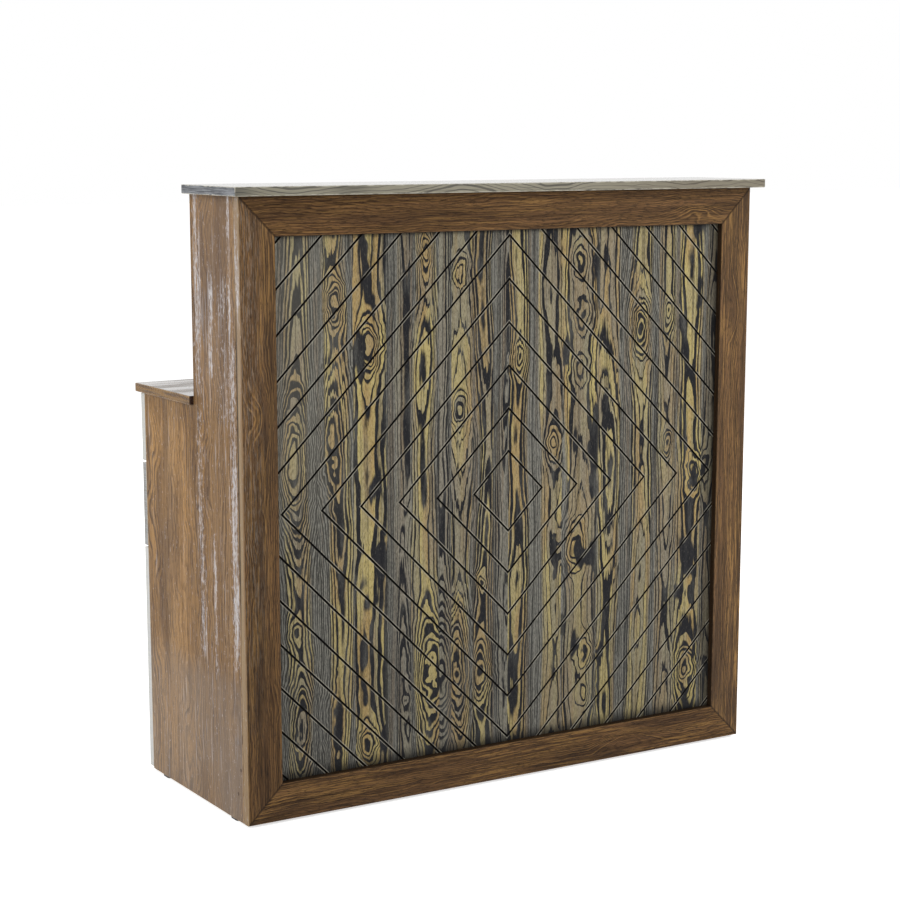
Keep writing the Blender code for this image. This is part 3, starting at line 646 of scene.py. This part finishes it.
def frame_finish(piece, order, seed, heart, swirl, gold, lit_end, shaded_end, flecks):
    """One board's finish: how far its heart lies from its middle, where along it the grain swirls, how
    much gold shows, how much painted light and painted shade lie towards its two ends, and the lime flecks
    in its outer half.
    """
    finish, shader, spot = new_finish(piece + "_oak")
    low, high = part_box(piece)
    board_axis = "XYZ".index(order[0])
    long_axis = "XYZ".index(order[2])
    middle = (low[board_axis] + high[board_axis]) / 2
    reach = (high[board_axis] - low[board_axis]) / 2
    grained = along_grain(spot, order)
    grain = use_group(spot.tree, OAK_GRAIN, {"Spot": grained, "Seed": seed})
    across, through, along = grained.parts()
    swell = wave(shifted(grained, (seed, 0.0, seed)), (20, 1, 9), 6.0, detail=2.0)
    aside = (across - middle) / SWIRL_HALF_WIDTH
    ahead = (along - swirl) / SWIRL_HALF_LENGTH
    swirled = ((aside * aside + ahead * ahead) * -1.0).step("EXPONENT")
    figure = use_group(spot.tree, FLAT_SAWN, {
        "Across": across - (middle + heart) + through * 0.5, "Along": along, "Seed": seed,
        "Ring": FRAME_RING, "Pith": FRAME_PITH, "Taper": RING_TAPER, "Swell": swell + swirled * SWIRL_RINGS,
    })
    inner = (across - middle) * (-1.0 if middle > FRAME_CENTRE[order[0]] else 1.0)
    fine = ripple(grained, (460, 460, 16), detail=3.0, roughness=0.65).fade(0.36, 0.64)
    wood = tones(grain["Streak"] * 0.45 + fine * 0.55, (0.0, FRAME_SHADE), (1.0, FRAME_PALE))
    ring = figure["Phase"]
    spring = ring.fade(0.0, 0.05) * ring.fade(0.50, 0.12)
    dashes = figure["Fibre"].fade(0.34, 0.54, 0.45, 1.0)
    wood = stain(spring * dashes * figure["Width"].fade(0.0, 1.0, 0.25, 0.75), wood, FRAME_DARK)
    wood = stain(grain["Drift"].fade(0.55, 1.0) * 0.45, wood, FRAME_DARK)
    wood = stain(grain["Gold"] * gold * 0.7, wood, FRAME_GOLD)
    # Gold is also left in the hard wood at the end of some rings.
    gilt = ring.fade(0.55, 0.70) * ring.fade(0.98, 0.86) * figure["Tint"].fade(0.35, 0.85)
    wood = stain(gilt * dashes * (swirled * 0.5 + gold * 0.45), wood, FRAME_GOLD)
    wood = stain(grain["Pores"] * 0.6, wood, FRAME_PORE)
    # Painted light towards one end of the board and painted shade towards the other.
    wood = stain(along.fade(low[long_axis], high[long_axis], *lit_end), wood, FRAME_PAINTED_LIGHT)
    wood = stain(along.fade(low[long_axis], high[long_axis], *shaded_end), wood, FRAME_PAINTED_SHADE)
    specks = ripple(grained, (520, 520, 50), detail=3.0, roughness=0.7).fade(0.48, 0.64)
    wood = stain(specks * inner.fade(0.020, -0.020) * along.fade(0.05, 0.60) * flecks, wood, FRAME_FLECK)
    wood = stain(edge_wear(spot, piece, FRAME_WEAR) * 0.5, wood, FRAME_RUBBED)
    from_end = (along - low[long_axis]).smaller(along * -1.0 + high[long_axis])
    wood = stain((from_end - inner - reach).fade(0.0040, 0.0004) * 0.65, wood, FRAME_DARK)
    # The stiles' outer edges are stained as the sides are, with the same painted sheen, and the rebate's
    # inner faces carry painted shade. A rail has no such edge, so its place is set past the desk.
    outer = max(abs(low[board_axis]), abs(high[board_axis])) if order[2] == "Z" else PAST_THE_DESK
    edge = stain(grain["Streak"] * 0.6, FRAME_EDGE, FRAME_PALE)
    edge = stain(painted_sheen(spot, FRAME_SHEEN_STREAKS), edge, SIDE_SHEEN)
    edge = stain(through.fade(high.y - 0.0075, high.y - 0.0045) * joint_stain(along), edge, FRAME_DARK)
    wood = stain(across.size().fade(outer - EASED_START, outer - EASED_FULL), wood, edge)
    wood = stain(inner.fade(reach - EASED_START, reach - EASED_FULL) * 0.9, wood, FRAME_REBATE_SHADE)
    fill(shader, {
        "Base Color": wood,
        "Roughness": grain["Streak"].fade(0.0, 1.0, 0.58, 0.44),
        "Specular IOR Level": 0.12,
        "Normal": relief(grain["Streak"] * 0.5 - grain["Pores"] - spring * 0.5, 0.0006, 0.7),
    })
    return finish


for number, (board, (order, *tone)) in enumerate(FRAME_BOARDS.items()):
    dress(board, frame_finish(board, order, FRAME_SEED + number, *tone))


# Counter top, drawer fronts and door
# Pine boards with the same brushed and stained finish as the panel, rubbed greyer and lacquered to a gloss.
# The counter is screwed up through the angle brackets, and the fronts from inside the drawer boxes.

TOP_GREY = colour(138, 133, 116)
TOP_PALE = colour(182, 167, 126)
TOP_SHADE = colour(76, 73, 66)
TOP_DARK = colour(40, 39, 38)
TOP_RUBBED = colour(186, 181, 166)
TOP_BROWN = colour(84, 66, 48)
TOP_END = colour(44, 47, 53)
TOP_CUT = colour(168, 171, 175)
UPPER_END = colour(184, 183, 176)
LOWER_END = colour(118, 115, 110)
DOOR_END = colour(190, 189, 185)
TOP_LATH = 0.090
TOP_RING = 0.0042
TOP_PITH = 0.030
TOP_WEAR = 0.0022


def grey_pine(piece, order, seed, end, handled=0.0):
    """The finish of a board whose sawn ends have the colour end; handled is how brown its right end is."""
    finish, shader, spot = new_finish(piece + "_pine")
    low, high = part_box(piece)
    grained = along_grain(spot, order)
    swell = wave(shifted(grained, (seed, 0.0, seed)), (13, 1, 5), 9.0)
    figure = sawn_laths(grained, TOP_LATH, seed, TOP_RING, TOP_PITH, swell)
    phase = figure["Phase"]
    core = figure["Heart"]
    band = (figure["Width"].fade(0.0, 1.0, 0.12, 0.60) - phase).fade(-0.03, 0.04) * phase.fade(0.0, 0.03)
    wood = stain(core * figure["Tint"].fade(0.0, 0.8, 0.3, 1.0), TOP_GREY, TOP_PALE)
    wood = stain(band * 0.85, wood, stain(core, TOP_SHADE, TOP_DARK))
    lines = ripple(shifted(grained, (0.0, 0.0, seed)), (270, 1, 2.4), roughness=0.6)
    wood = stain(lines.fade(0.54, 0.64) * 0.6, wood, TOP_DARK)
    speckle = figure["Fibre"]
    wood = stain(speckle.fade(0.50, 0.32) * 0.5, wood, TOP_DARK)
    x, _, z = spot.parts()
    wood = stain(x.fade(0.05, 0.40) * handled, wood, TOP_BROWN)
    sawn = (x * -1.0 + high.x).smaller(x - low.x).fade(SKIN_START, SKIN_FULL)
    streaked = ripple(spot, (150, 16, 420), detail=4.0, roughness=0.65)
    wood = stain(sawn, wood, stain(streaked.fade(0.40, 0.62) * 0.42, end, TOP_CUT))
    wood = stain(edge_wear(spot, piece, TOP_WEAR) * 0.8, wood, TOP_RUBBED)
    # The lacquer lies thickest on the upper faces.
    lacquer = z.fade(high.z - SKIN_START, high.z - SKIN_FULL, 0.1, 0.9)
    fill(shader, {
        "Base Color": wood,
        "Roughness": speckle.fade(0.2, 0.8, 0.30, 0.44),
        "Coat Weight": lacquer,
        "Coat Roughness": 0.12,
        "Specular IOR Level": 0.35,
        "Normal": relief(band * -0.7 + speckle * 0.5, 0.0004, 0.5),
    })
    return finish


dress("counter_top", grey_pine("counter_top", "YZX", 23.0, TOP_END, 0.30))
dress("drawer_upper_front", grey_pine("drawer_upper_front", "ZYX", 24.0, UPPER_END))
dress("drawer_lower_front", grey_pine("drawer_lower_front", "ZYX", 25.0, LOWER_END))
dress("door", grey_pine("door", "XYZ", 26.0, DOOR_END))


# Worktop
# An oak board stained like the sides, darker on top and lacquered to a gloss, with its edges left brown.
# It rests on the side panels and the cleats, and its tongue reaches in under the counter.

WORKTOP_DARK = colour(36, 29, 24)
WORKTOP_BROWN = colour(92, 75, 58)
WORKTOP_PALE = colour(146, 124, 100)
WORKTOP_EDGE = colour(127, 94, 46)
WORKTOP_SHADE = colour(86, 61, 33)
WORKTOP_NOTCH_SHADE = colour(44, 24, 18)
WORKTOP_LATH = 0.09
WORKTOP_RING = 0.0048
WORKTOP_PITH = 0.022
WORKTOP_WEAR = 0.0022
WORKTOP_SEED = 28.0
# Where the board steps out behind the upper part of the sides.
WORKTOP_SHOULDER = -0.02395


def worktop_finish():
    """Dark stained oak with brown edges, under lacquer that has dulled in streaks."""
    finish, shader, spot = new_finish("worktop_oak")
    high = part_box("worktop")[1]
    grained = along_grain(spot, "YZX")
    grain = use_group(spot.tree, OAK_GRAIN, {"Spot": grained, "Seed": WORKTOP_SEED})
    figure = sawn_laths(grained, WORKTOP_LATH, WORKTOP_SEED, WORKTOP_RING, WORKTOP_PITH)
    wood = tones(grain["Streak"], (0.0, WORKTOP_BROWN), (1.0, WORKTOP_PALE))
    spring = figure["Phase"].fade(0.0, 0.06) * figure["Phase"].fade(0.62, 0.14)
    wood = stain(spring * figure["Width"].fade(0.0, 1.0, 0.4, 0.95), wood, WORKTOP_DARK)
    wood = stain(grain["Pores"] * 0.6, wood, WORKTOP_DARK)
    x, y, _ = spot.parts()
    side_edge = x.size().fade(high.x - EASED_START, high.x - EASED_FULL)
    edge = side_edge.larger(y.fade(high.y - EASED_START, high.y - EASED_FULL))
    banding = tones(ripple(spot, (14, 14, 300), detail=3.0), (0.40, WORKTOP_SHADE), (0.58, WORKTOP_EDGE))
    wood = stain(edge * 0.92, wood, banding)
    wood = stain(edge_wear(spot, "worktop", WORKTOP_WEAR) * 0.25, wood, SIDE_RUBBED)
    # The sawn shoulders that butt against the upper part of the sides are painted dark as shade.
    outside = x.size().fade(SIDE_FACE, SIDE_FACE + 0.0004)
    shoulder = y.fade(WORKTOP_SHOULDER + 0.0014, WORKTOP_SHOULDER)
    wood = stain(outside * shoulder, wood, WORKTOP_NOTCH_SHADE)
    # The lacquer has sunk in along the grain and left dull streaks.
    lacquer = ripple(grained, (32, 1, 3.5), detail=3.0, roughness=0.6).fade(0.42, 0.56, 0.30, 1.0)
    fill(shader, {
        "Base Color": wood,
        "Roughness": grain["Streak"].fade(0.0, 1.0, 0.36, 0.22),
        "Coat Weight": lacquer * edge.fade(1.0, 0.0),
        "Coat Roughness": 0.15,
        "Specular IOR Level": 0.15,
        "Normal": relief(grain["Streak"] * 0.4 - grain["Pores"] - spring * 0.5, 0.0004, 0.5),
    })
    return finish


dress("worktop", worktop_finish())


# Drawer boxes
# Open boxes of birch plywood, glued at the corners, with the plies showing on the edges of the boards.
# The thin ply bottoms are let into grooves, and each box is screwed to its drawer front from inside.

BIRCH = colour(214, 190, 152)
BIRCH_DARK = colour(190, 160, 118)
PLY_GLUE = colour(150, 116, 80)
BOX_BOARD = 0.012
BOX_PLIES = 9
PLY_THICKNESS = BOX_BOARD / BOX_PLIES
BOX_SEED = 31.0
# The axes of each board across, through and along its grain.
BOX_BOARDS = {"box_front": "ZYX", "back": "ZYX", "side_left": "ZXY", "side_right": "ZXY", "bottom": "YZX"}


def birch_ply(piece, order, seed):
    """Pale birch faces, with dark glue lines and every other ply darker on the edges."""
    finish, shader, spot = new_finish(piece + "_birch")
    grain = use_group(spot.tree, OAK_GRAIN, {"Spot": along_grain(spot, order), "Seed": seed})
    wood = tones(grain["Drift"], (0.0, BIRCH_DARK), (0.8, BIRCH))
    wood = stain(grain["Streak"] * 0.3, wood, BIRCH_DARK)
    wood = stain(grain["Pores"] * 0.25, wood, PLY_GLUE)
    low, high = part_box(piece)
    thin = "XYZ".index(order[1])
    through = spot.parts()[thin]
    depth = (through - low[thin]).smaller(through * -1.0 + high[thin])
    ply = (through - low[thin]) / PLY_THICKNESS
    crossed = (ply * 0.5).step("FRACT").fade(0.48, 0.52) * 0.7
    glue = (ply.step("FRACT") - 0.5).size().fade(0.38, 0.46) * 0.8
    wood = stain(crossed.larger(glue) * depth.fade(0.0006, 0.0009), wood, PLY_GLUE)
    fill(shader, {
        "Base Color": wood,
        "Roughness": grain["Streak"].fade(0.0, 1.0, 0.5, 0.6),
        "Normal": relief(grain["Streak"], 0.0002, 0.3),
    })
    return finish


for level in ("upper", "lower"):
    for number, (board, order) in enumerate(BOX_BOARDS.items()):
        name = f"drawer_{level}_{board}"
        dress(name, birch_ply(name, order, BOX_SEED + number))


# Runners, hinges, brackets and shelf pins
# Bought fittings of pressed and drawn steel, bright zinc plated. Slides, hinge arms and brackets are
# screwed to the boards, the hinge cups are let into the door, and the pins push into rows of holes.

ZINC = colour(196, 198, 200)
ZINC_DULL = colour(150, 153, 157)


def zinc_plate():
    finish, shader, spot = new_finish("zinc_plate")
    cloud = ripple(spot, (120, 120, 120), detail=3.0)
    fill(shader, {
        "Base Color": tones(cloud, (0.3, ZINC_DULL), (0.7, ZINC)),
        "Roughness": cloud.fade(0.2, 0.8, 0.42, 0.26),
        "Metallic": 1.0,
        "Normal": relief(ripple(spot, (900, 900, 900)), 0.00005, 0.4),
    })
    return finish


zinc = zinc_plate()
STEEL_PIECES = ["hinge_cup_upper", "hinge_cup_lower", "hinge_arm_upper", "hinge_arm_lower"]
STEEL_PIECES += [f"bracket_{side}_{hand}" for side in ("front", "side") for hand in ("left", "right")]
STEEL_PIECES += [f"shelf_pin_{end}_{hand}" for end in ("front", "rear") for hand in ("left", "right")]
STEEL_PIECES += [
    f"drawer_{level}_{member}_{hand}"
    for level in ("upper", "lower") for member in ("rail", "runner") for hand in ("left", "right")
]
for piece in STEEL_PIECES:
    dress(piece, zinc)


# Screws
# Zinc plated steel, with pan heads and a cross recess. They hold the brackets, cleats, slides and hinge
# arms to the boards and the fronts to the drawer boxes, and reach through the fronts into the handles.

HEAD_SIDES = 24
HEAD_STEP = math.radians(360 / HEAD_SIDES)
HEAD_GAP = 0.0001
SHARP_ANGLE = math.radians(40)
# The rings of a head from the board up: share of its radius and of its height, and whether it is a cross.
PAN_HEAD = (
    (1.0, 0.0, False), (1.0, 0.35, False), (0.92, 0.72, False), (0.76, 0.94, False), (0.62, 1.0, False),
    (0.50, 1.0, True), (0.36, 0.45, True),
)


def cross_reach(step):
    """How far the outline of a cross with arms 1 long reaches, at one of the steps round it."""
    quarter = HEAD_SIDES // 4
    past = step % quarter
    from_arm = min(past, quarter - past)
    turn = HEAD_STEP * from_arm
    if from_arm <= 1:
        return 1 / math.cos(turn)
    return math.tan(HEAD_STEP) / math.sin(turn)


def add_head(shape, middle, facing, radius, height, rings):
    """Adds a turned head to a mesh, standing on the point middle of a surface that faces that way."""
    out = Vector(facing)
    side = out.orthogonal().normalized()
    up = out.cross(side)
    foot = Vector(middle) + out * HEAD_GAP
    loops = []
    for share, rise, cross in rings:
        loop = []
        for step in range(HEAD_SIDES):
            turn = HEAD_STEP * step
            reach = radius * share * (cross_reach(step) if cross else 1.0)
            spoke = side * math.cos(turn) + up * math.sin(turn)
            loop.append(shape.verts.new(foot + out * height * rise + spoke * reach))
        loops.append(loop)
    shape.faces.new(reversed(loops[0]))
    for below, above in zip(loops, loops[1:]):
        for step in range(HEAD_SIDES):
            after = (step + 1) % HEAD_SIDES
            shape.faces.new((below[step], below[after], above[after], above[step]))
    tip = shape.verts.new(foot + out * height * rings[-1][1])
    for step in range(HEAD_SIDES):
        shape.faces.new((loops[-1][step], loops[-1][(step + 1) % HEAD_SIDES], tip))


def new_piece(name, shape, finish, body):
    """Turns a finished mesh into a piece that moves with a body."""
    mesh = bpy.data.meshes.new(name)
    shape.to_mesh(mesh)
    shape.free()
    mesh.polygons.foreach_set("use_smooth", [True] * len(mesh.polygons))
    mesh.set_sharp_from_angle(angle=SHARP_ANGLE)
    mesh.materials.append(finish)
    piece = bpy.data.objects.new(name, mesh)
    bpy.context.scene.collection.objects.link(piece)
    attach(piece, body)


def screw_set(name, body, heads):
    """One piece made of several screw heads, each given as (middle, facing, radius, height)."""
    shape = bmesh.new()
    for middle, facing, radius, height in heads:
        add_head(shape, middle, facing, radius, height, PAN_HEAD)
    new_piece(name, shape, zinc, body)


# Radius and height of each kind of head.
WOOD_SCREW = (0.0040, 0.0022)
FLAT_SCREW = (0.0034, 0.0015)
MACHINE_SCREW = (0.0048, 0.0026)
SHEET = 0.002
SLIDE_SHEET = 0.0012
# Each side of the cabinet with the way from it to the middle.
HANDS = (("left", 1), ("right", -1))
BRACKET_INSET = 0.0125
# Shares of a cleat's length, distances from a slide's outer end and from a hinge arm's inner end.
CLEAT_SCREWS = {"cabinet": (0.16, 0.50, 0.84), "knee": (0.08, 0.36, 0.64, 0.92)}
RAIL_SCREWS = (0.030, 0.140, 0.300)
RUNNER_SCREWS = (0.060, 0.190, 0.320)
ARM_SCREWS = (0.014, 0.036)
HANDLE_HALF = 0.064
# A front's own screws stand this many times as far apart as its handle's.
FRONT_SPREAD = 2.2

heads = []
for hand, inward in HANDS:
    low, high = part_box(f"bracket_front_{hand}")
    across = (low.x + high.x) / 2
    heads.append(((across, low.y + SHEET, low.z + BRACKET_INSET), (0, 1, 0), *WOOD_SCREW))
    heads.append(((across, high.y - BRACKET_INSET, high.z - SHEET), (0, 0, -1), *WOOD_SCREW))
    low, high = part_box(f"bracket_side_{hand}")
    wall, tip = (low.x, high.x) if inward > 0 else (high.x, low.x)
    across = (low.y + high.y) / 2
    heads.append(((wall + inward * SHEET, across, low.z + BRACKET_INSET), (inward, 0, 0), *WOOD_SCREW))
    heads.append(((tip - inward * BRACKET_INSET, across, high.z - SHEET), (0, 0, -1), *WOOD_SCREW))
screw_set("bracket_screws", "carcass", heads)

heads = []
for cleat, places in CLEAT_SCREWS.items():
    low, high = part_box(f"worktop_cleat_{cleat}")
    for share in places:
        across = low.x + (high.x - low.x) * share
        heads.append(((across, high.y, (low.z + high.z) / 2), (0, 1, 0), *WOOD_SCREW))
for level in ("upper", "lower"):
    for hand, inward in HANDS:
        low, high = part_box(f"drawer_{level}_rail_{hand}")
        web = (low.x if inward > 0 else high.x) + inward * SLIDE_SHEET
        for back in RAIL_SCREWS:
            heads.append(((web, high.y - back, (low.z + high.z) / 2), (inward, 0, 0), *FLAT_SCREW))
    low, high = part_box(f"hinge_arm_{level}")
    for ahead in ARM_SCREWS:
        heads.append(((high.x, low.y + ahead, (low.z + high.z) / 2), (1, 0, 0), *FLAT_SCREW))
screw_set("cabinet_screws", "carcass", heads)

for level in ("upper", "lower"):
    heads = []
    for hand, inward in HANDS:
        low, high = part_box(f"drawer_{level}_runner_{hand}")
        web = (high.x if inward > 0 else low.x) - inward * SLIDE_SHEET
        for back in RUNNER_SCREWS:
            heads.append(((web, high.y - back, (low.z + high.z) / 2), (-inward, 0, 0), *FLAT_SCREW))
    low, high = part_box(f"drawer_{level}_handle")
    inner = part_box(f"drawer_{level}_box_front")[0].y
    middle = (low.x + high.x) / 2
    rise = (low.z + high.z) / 2
    for along in (-HANDLE_HALF, HANDLE_HALF):
        heads.append(((middle + along, inner, rise), (0, -1, 0), *MACHINE_SCREW))
        heads.append(((middle + along * FRONT_SPREAD, inner, rise), (0, -1, 0), *WOOD_SCREW))
    screw_set(f"drawer_{level}_screws", f"{level}_drawer", heads)


# Hinge ears and door screws
# Two flat ears of the same zinc plated steel stand out beside the rim of each hinge cup. A flat screw
# through each holds the cup in the door, and two machine screws reach through the door into its handle.

EAR_OFFSET = Vector((0.0055, 0.0, 0.0225))
EAR_RADIUS = 0.0065
EAR_THICKNESS = 0.0008
EAR_CLEARANCE = 0.0001
EAR_STEPS = 8
RIM_STEPS = 4

heads = []
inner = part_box("door")[0].y
low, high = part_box("door_handle")
across = (low.x + high.x) / 2
for along in (-HANDLE_HALF, HANDLE_HALF):
    heads.append(((across, inner, (low.z + high.z) / 2 + along), (0, -1, 0), *MACHINE_SCREW))
ears = bmesh.new()
for level in ("upper", "lower"):
    low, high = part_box(f"hinge_cup_{level}")
    centre = Vector(((low.x + high.x) / 2, low.y, (low.z + high.z) / 2))
    rim = (high.x - low.x) / 2 + EAR_CLEARANCE
    for way in (1, -1):
        outline = []
        for step in range(EAR_STEPS + 1):
            turn = math.pi * step / EAR_STEPS
            across = EAR_OFFSET.x + EAR_RADIUS * math.cos(turn)
            outline.append((across, EAR_OFFSET.z + EAR_RADIUS * math.sin(turn)))
        for step in range(RIM_STEPS + 1):
            across = EAR_OFFSET.x - EAR_RADIUS + 2 * EAR_RADIUS * step / RIM_STEPS
            outline.append((across, math.sqrt(rim ** 2 - across ** 2)))
        lower = [ears.verts.new(centre + Vector((across, 0.0, way * up))) for across, up in outline]
        upper = [ears.verts.new(vert.co + Vector((0.0, EAR_THICKNESS, 0.0))) for vert in lower]
        ears.faces.new(lower)
        ears.faces.new(reversed(upper))
        for step in range(len(outline)):
            after = (step + 1) % len(outline)
            ears.faces.new((lower[step], upper[step], upper[after], lower[after]))
        middle = centre + Vector((EAR_OFFSET.x, 0.0, way * EAR_OFFSET.z))
        heads.append((middle, (0, -1, 0), *FLAT_SCREW))
bmesh.ops.recalc_face_normals(ears, faces=ears.faces)
new_piece("hinge_ears", ears, zinc, "cupboard_door")
screw_set("door_screws", "cupboard_door", heads)


# Handles
# Round steel rod bent into a bow, powder coated black and a little worn in patches.
# Each stands on the outer face of a front, held by the two screws that reach through it.

COAT_BLACK = colour(30, 30, 31)
COAT_WORN = colour(52, 51, 50)


def powder_coat():
    finish, shader, spot = new_finish("black_powder_coat")
    peel = ripple(spot, (1400, 1400, 1400))
    wear_and_floor_reflection = ripple(spot, (60, 60, 60), detail=3.0).fade(0.5, 0.75)
    fill(shader, {
        "Base Color": stain(wear_and_floor_reflection, COAT_BLACK, COAT_WORN),
        "Roughness": peel.fade(0.2, 0.8, 0.5, 0.36),
        "Normal": relief(peel, 0.0001, 0.5),
    })
    return finish


coat = powder_coat()
for piece in ("drawer_upper_handle", "drawer_lower_handle", "door_handle"):
    dress(piece, coat)


# Feet
# Round glides of moulded black plastic, scuffed grey by the floor.
# One is nailed under each end of the side panels and of the partition.

GLIDE_BLACK = colour(34, 33, 33)
GLIDE_SCUFFED = colour(74, 72, 70)


def glide_plastic():
    finish, shader, spot = new_finish("glide_plastic")
    mould = ripple(spot, (2200, 2200, 2200), detail=1.0)
    scuff = ripple(spot, (180, 180, 600), detail=3.0).fade(0.55, 0.75)
    fill(shader, {
        "Base Color": stain(scuff * 0.7, GLIDE_BLACK, GLIDE_SCUFFED),
        "Roughness": mould.fade(0.2, 0.8, 0.6, 0.45),
        "Normal": relief(mould, 0.0001, 0.4),
    })
    return finish


glide = glide_plastic()
for end in ("front", "rear"):
    for hand in ("left", "middle", "right"):
        dress(f"foot_{end}_{hand}", glide)


# Door bumpers and nail plugs
# Two soft plastic domes are stuck inside the door where it meets the partition. Two nail holes low on
# the left side are stopped with dark filler that stands a hair proud.

DOME = ((1.0, 0.0, False), (1.0, 0.3, False), (0.88, 0.65, False), (0.60, 0.92, False), (0.28, 1.0, False))
FILLER_DARK = colour(58, 42, 30)
FILLER_PALE = colour(92, 70, 50)
# Radius and height of each dome, the bumpers' distance from the door's ends, and the plugs' places on the
# side panel towards the staff side and up.
BUMPER_SIZE = (0.0045, 0.0014)
BUMPER_INSET = 0.030
PLUG_SIZE = (0.0034, 0.0003)
PLUG_PLACES = ((-0.189, 0.101), (-0.177, 0.055))


def filler():
    finish, shader, spot = new_finish("nail_filler")
    grit = ripple(spot, (1800, 1800, 1800), detail=3.0)
    fill(shader, {
        "Base Color": stain(grit.fade(0.35, 0.65), FILLER_DARK, FILLER_PALE),
        "Roughness": grit.fade(0.2, 0.8, 0.75, 0.6),
        "Normal": relief(grit, 0.0001, 0.5),
    })
    return finish


bumpers = bmesh.new()
low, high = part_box("partition")
across = (low.x + high.x) / 2
low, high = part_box("door")
for rise in (low.z + BUMPER_INSET, high.z - BUMPER_INSET):
    add_head(bumpers, (across, low.y, rise), (0, -1, 0), *BUMPER_SIZE, DOME)
new_piece("door_bumpers", bumpers, glide, "cupboard_door")

plugs = bmesh.new()
for back, rise in PLUG_PLACES:
    add_head(plugs, (-SIDE_FACE, back, rise), (-1, 0, 0), *PLUG_SIZE, DOME)
new_piece("nail_plugs", plugs, filler(), "carcass")


# Studio
# A wide white floor under a white sky, a large soft lamp on the left, a weaker one on the right, and one
# behind the desk for the staff side.

FLOOR_HALF = 30.0
FLOOR_SHADE = colour(235, 235, 235)
FLOOR_GLOW = 0.66
WHITE = (1.0, 1.0, 1.0, 1.0)
SKY_LIGHT = 0.45
LAMP_AIM = Vector((0.0, 0.0, 0.55))
# Each lamp's place, the length of its sides and its power in watts.
LAMPS = {
    "key_lamp": ((-4.4, -0.9, 2.4), 2.6, 125.0),
    "fill_lamp": ((2.3, -2.9, 2.3), 1.6, 80.0),
    "staff_lamp": ((1.2, 4.2, 2.6), 2.4, 90.0),
}
CAMERA_LENS = 83.732
CAMERA_SHIFT = (0.00379, 0.06535)
CAMERA_PLACE = (-2.0996, -3.391, 1.2048)
CAMERA_TURN = (math.radians(79.804), 0.0, math.radians(-31.667))


def shown_rays(tree):
    """1 where a thing is seen, directly, mirrored or through glass, and 0 where it only gives light."""
    path = place(tree, "LightPath", {}).outputs
    mirrored = Wire(path["Is Glossy Ray"]).larger(Wire(path["Is Transmission Ray"]))
    return mirrored.larger(Wire(path["Is Camera Ray"]))


def build_floor():
    shape = bmesh.new()
    bmesh.ops.create_grid(shape, x_segments=1, y_segments=1, size=FLOOR_HALF)
    mesh = bpy.data.meshes.new("studio_floor")
    shape.to_mesh(mesh)
    shape.free()
    floor = bpy.data.objects.new("studio_floor", mesh)
    bpy.context.scene.collection.objects.link(floor)
    finish, shader, spot = new_finish("studio_floor")
    fill(shader, {
        "Base Color": FLOOR_SHADE,
        "Roughness": 0.9,
        "Emission Color": WHITE,
        "Emission Strength": shown_rays(spot.tree) * FLOOR_GLOW,
    })
    mesh.materials.append(finish)


build_floor()

world = bpy.data.worlds.new("studio_sky")
bpy.context.scene.world = world
world.use_nodes = True
sky = world.node_tree
fill(sky.nodes["Background"], {
    "Color": WHITE,
    "Strength": shown_rays(sky).fade(0.0, 1.0, SKY_LIGHT, 1.0),
})


def soft_lamp(name, spot, size, power):
    """A square lamp that faces the middle of the desk and does not show in its gloss."""
    lamp = bpy.data.lights.new(name, "AREA")
    lamp.shape = "RECTANGLE"
    lamp.size = size
    lamp.size_y = size
    lamp.energy = power
    holder = bpy.data.objects.new(name, lamp)
    holder.location = spot
    aim = LAMP_AIM - Vector(spot)
    holder.rotation_euler = aim.to_track_quat("-Z", "Y").to_euler()
    holder.visible_glossy = False
    holder.visible_camera = False
    bpy.context.scene.collection.objects.link(holder)


for name, lamp in LAMPS.items():
    soft_lamp(name, *lamp)

# The camera stands where the photograph's lines meet: a long lens at eye height, with the frame raised.
camera = bpy.data.cameras.new("photo_camera")
camera.lens = CAMERA_LENS
camera.shift_x, camera.shift_y = CAMERA_SHIFT
camera_holder = bpy.data.objects.new("photo_camera", camera)
camera_holder.location = CAMERA_PLACE
camera_holder.rotation_euler = CAMERA_TURN
bpy.context.scene.collection.objects.link(camera_holder)
bpy.context.scene.camera = camera_holder
bpy.context.scene.view_settings.view_transform = "Standard"
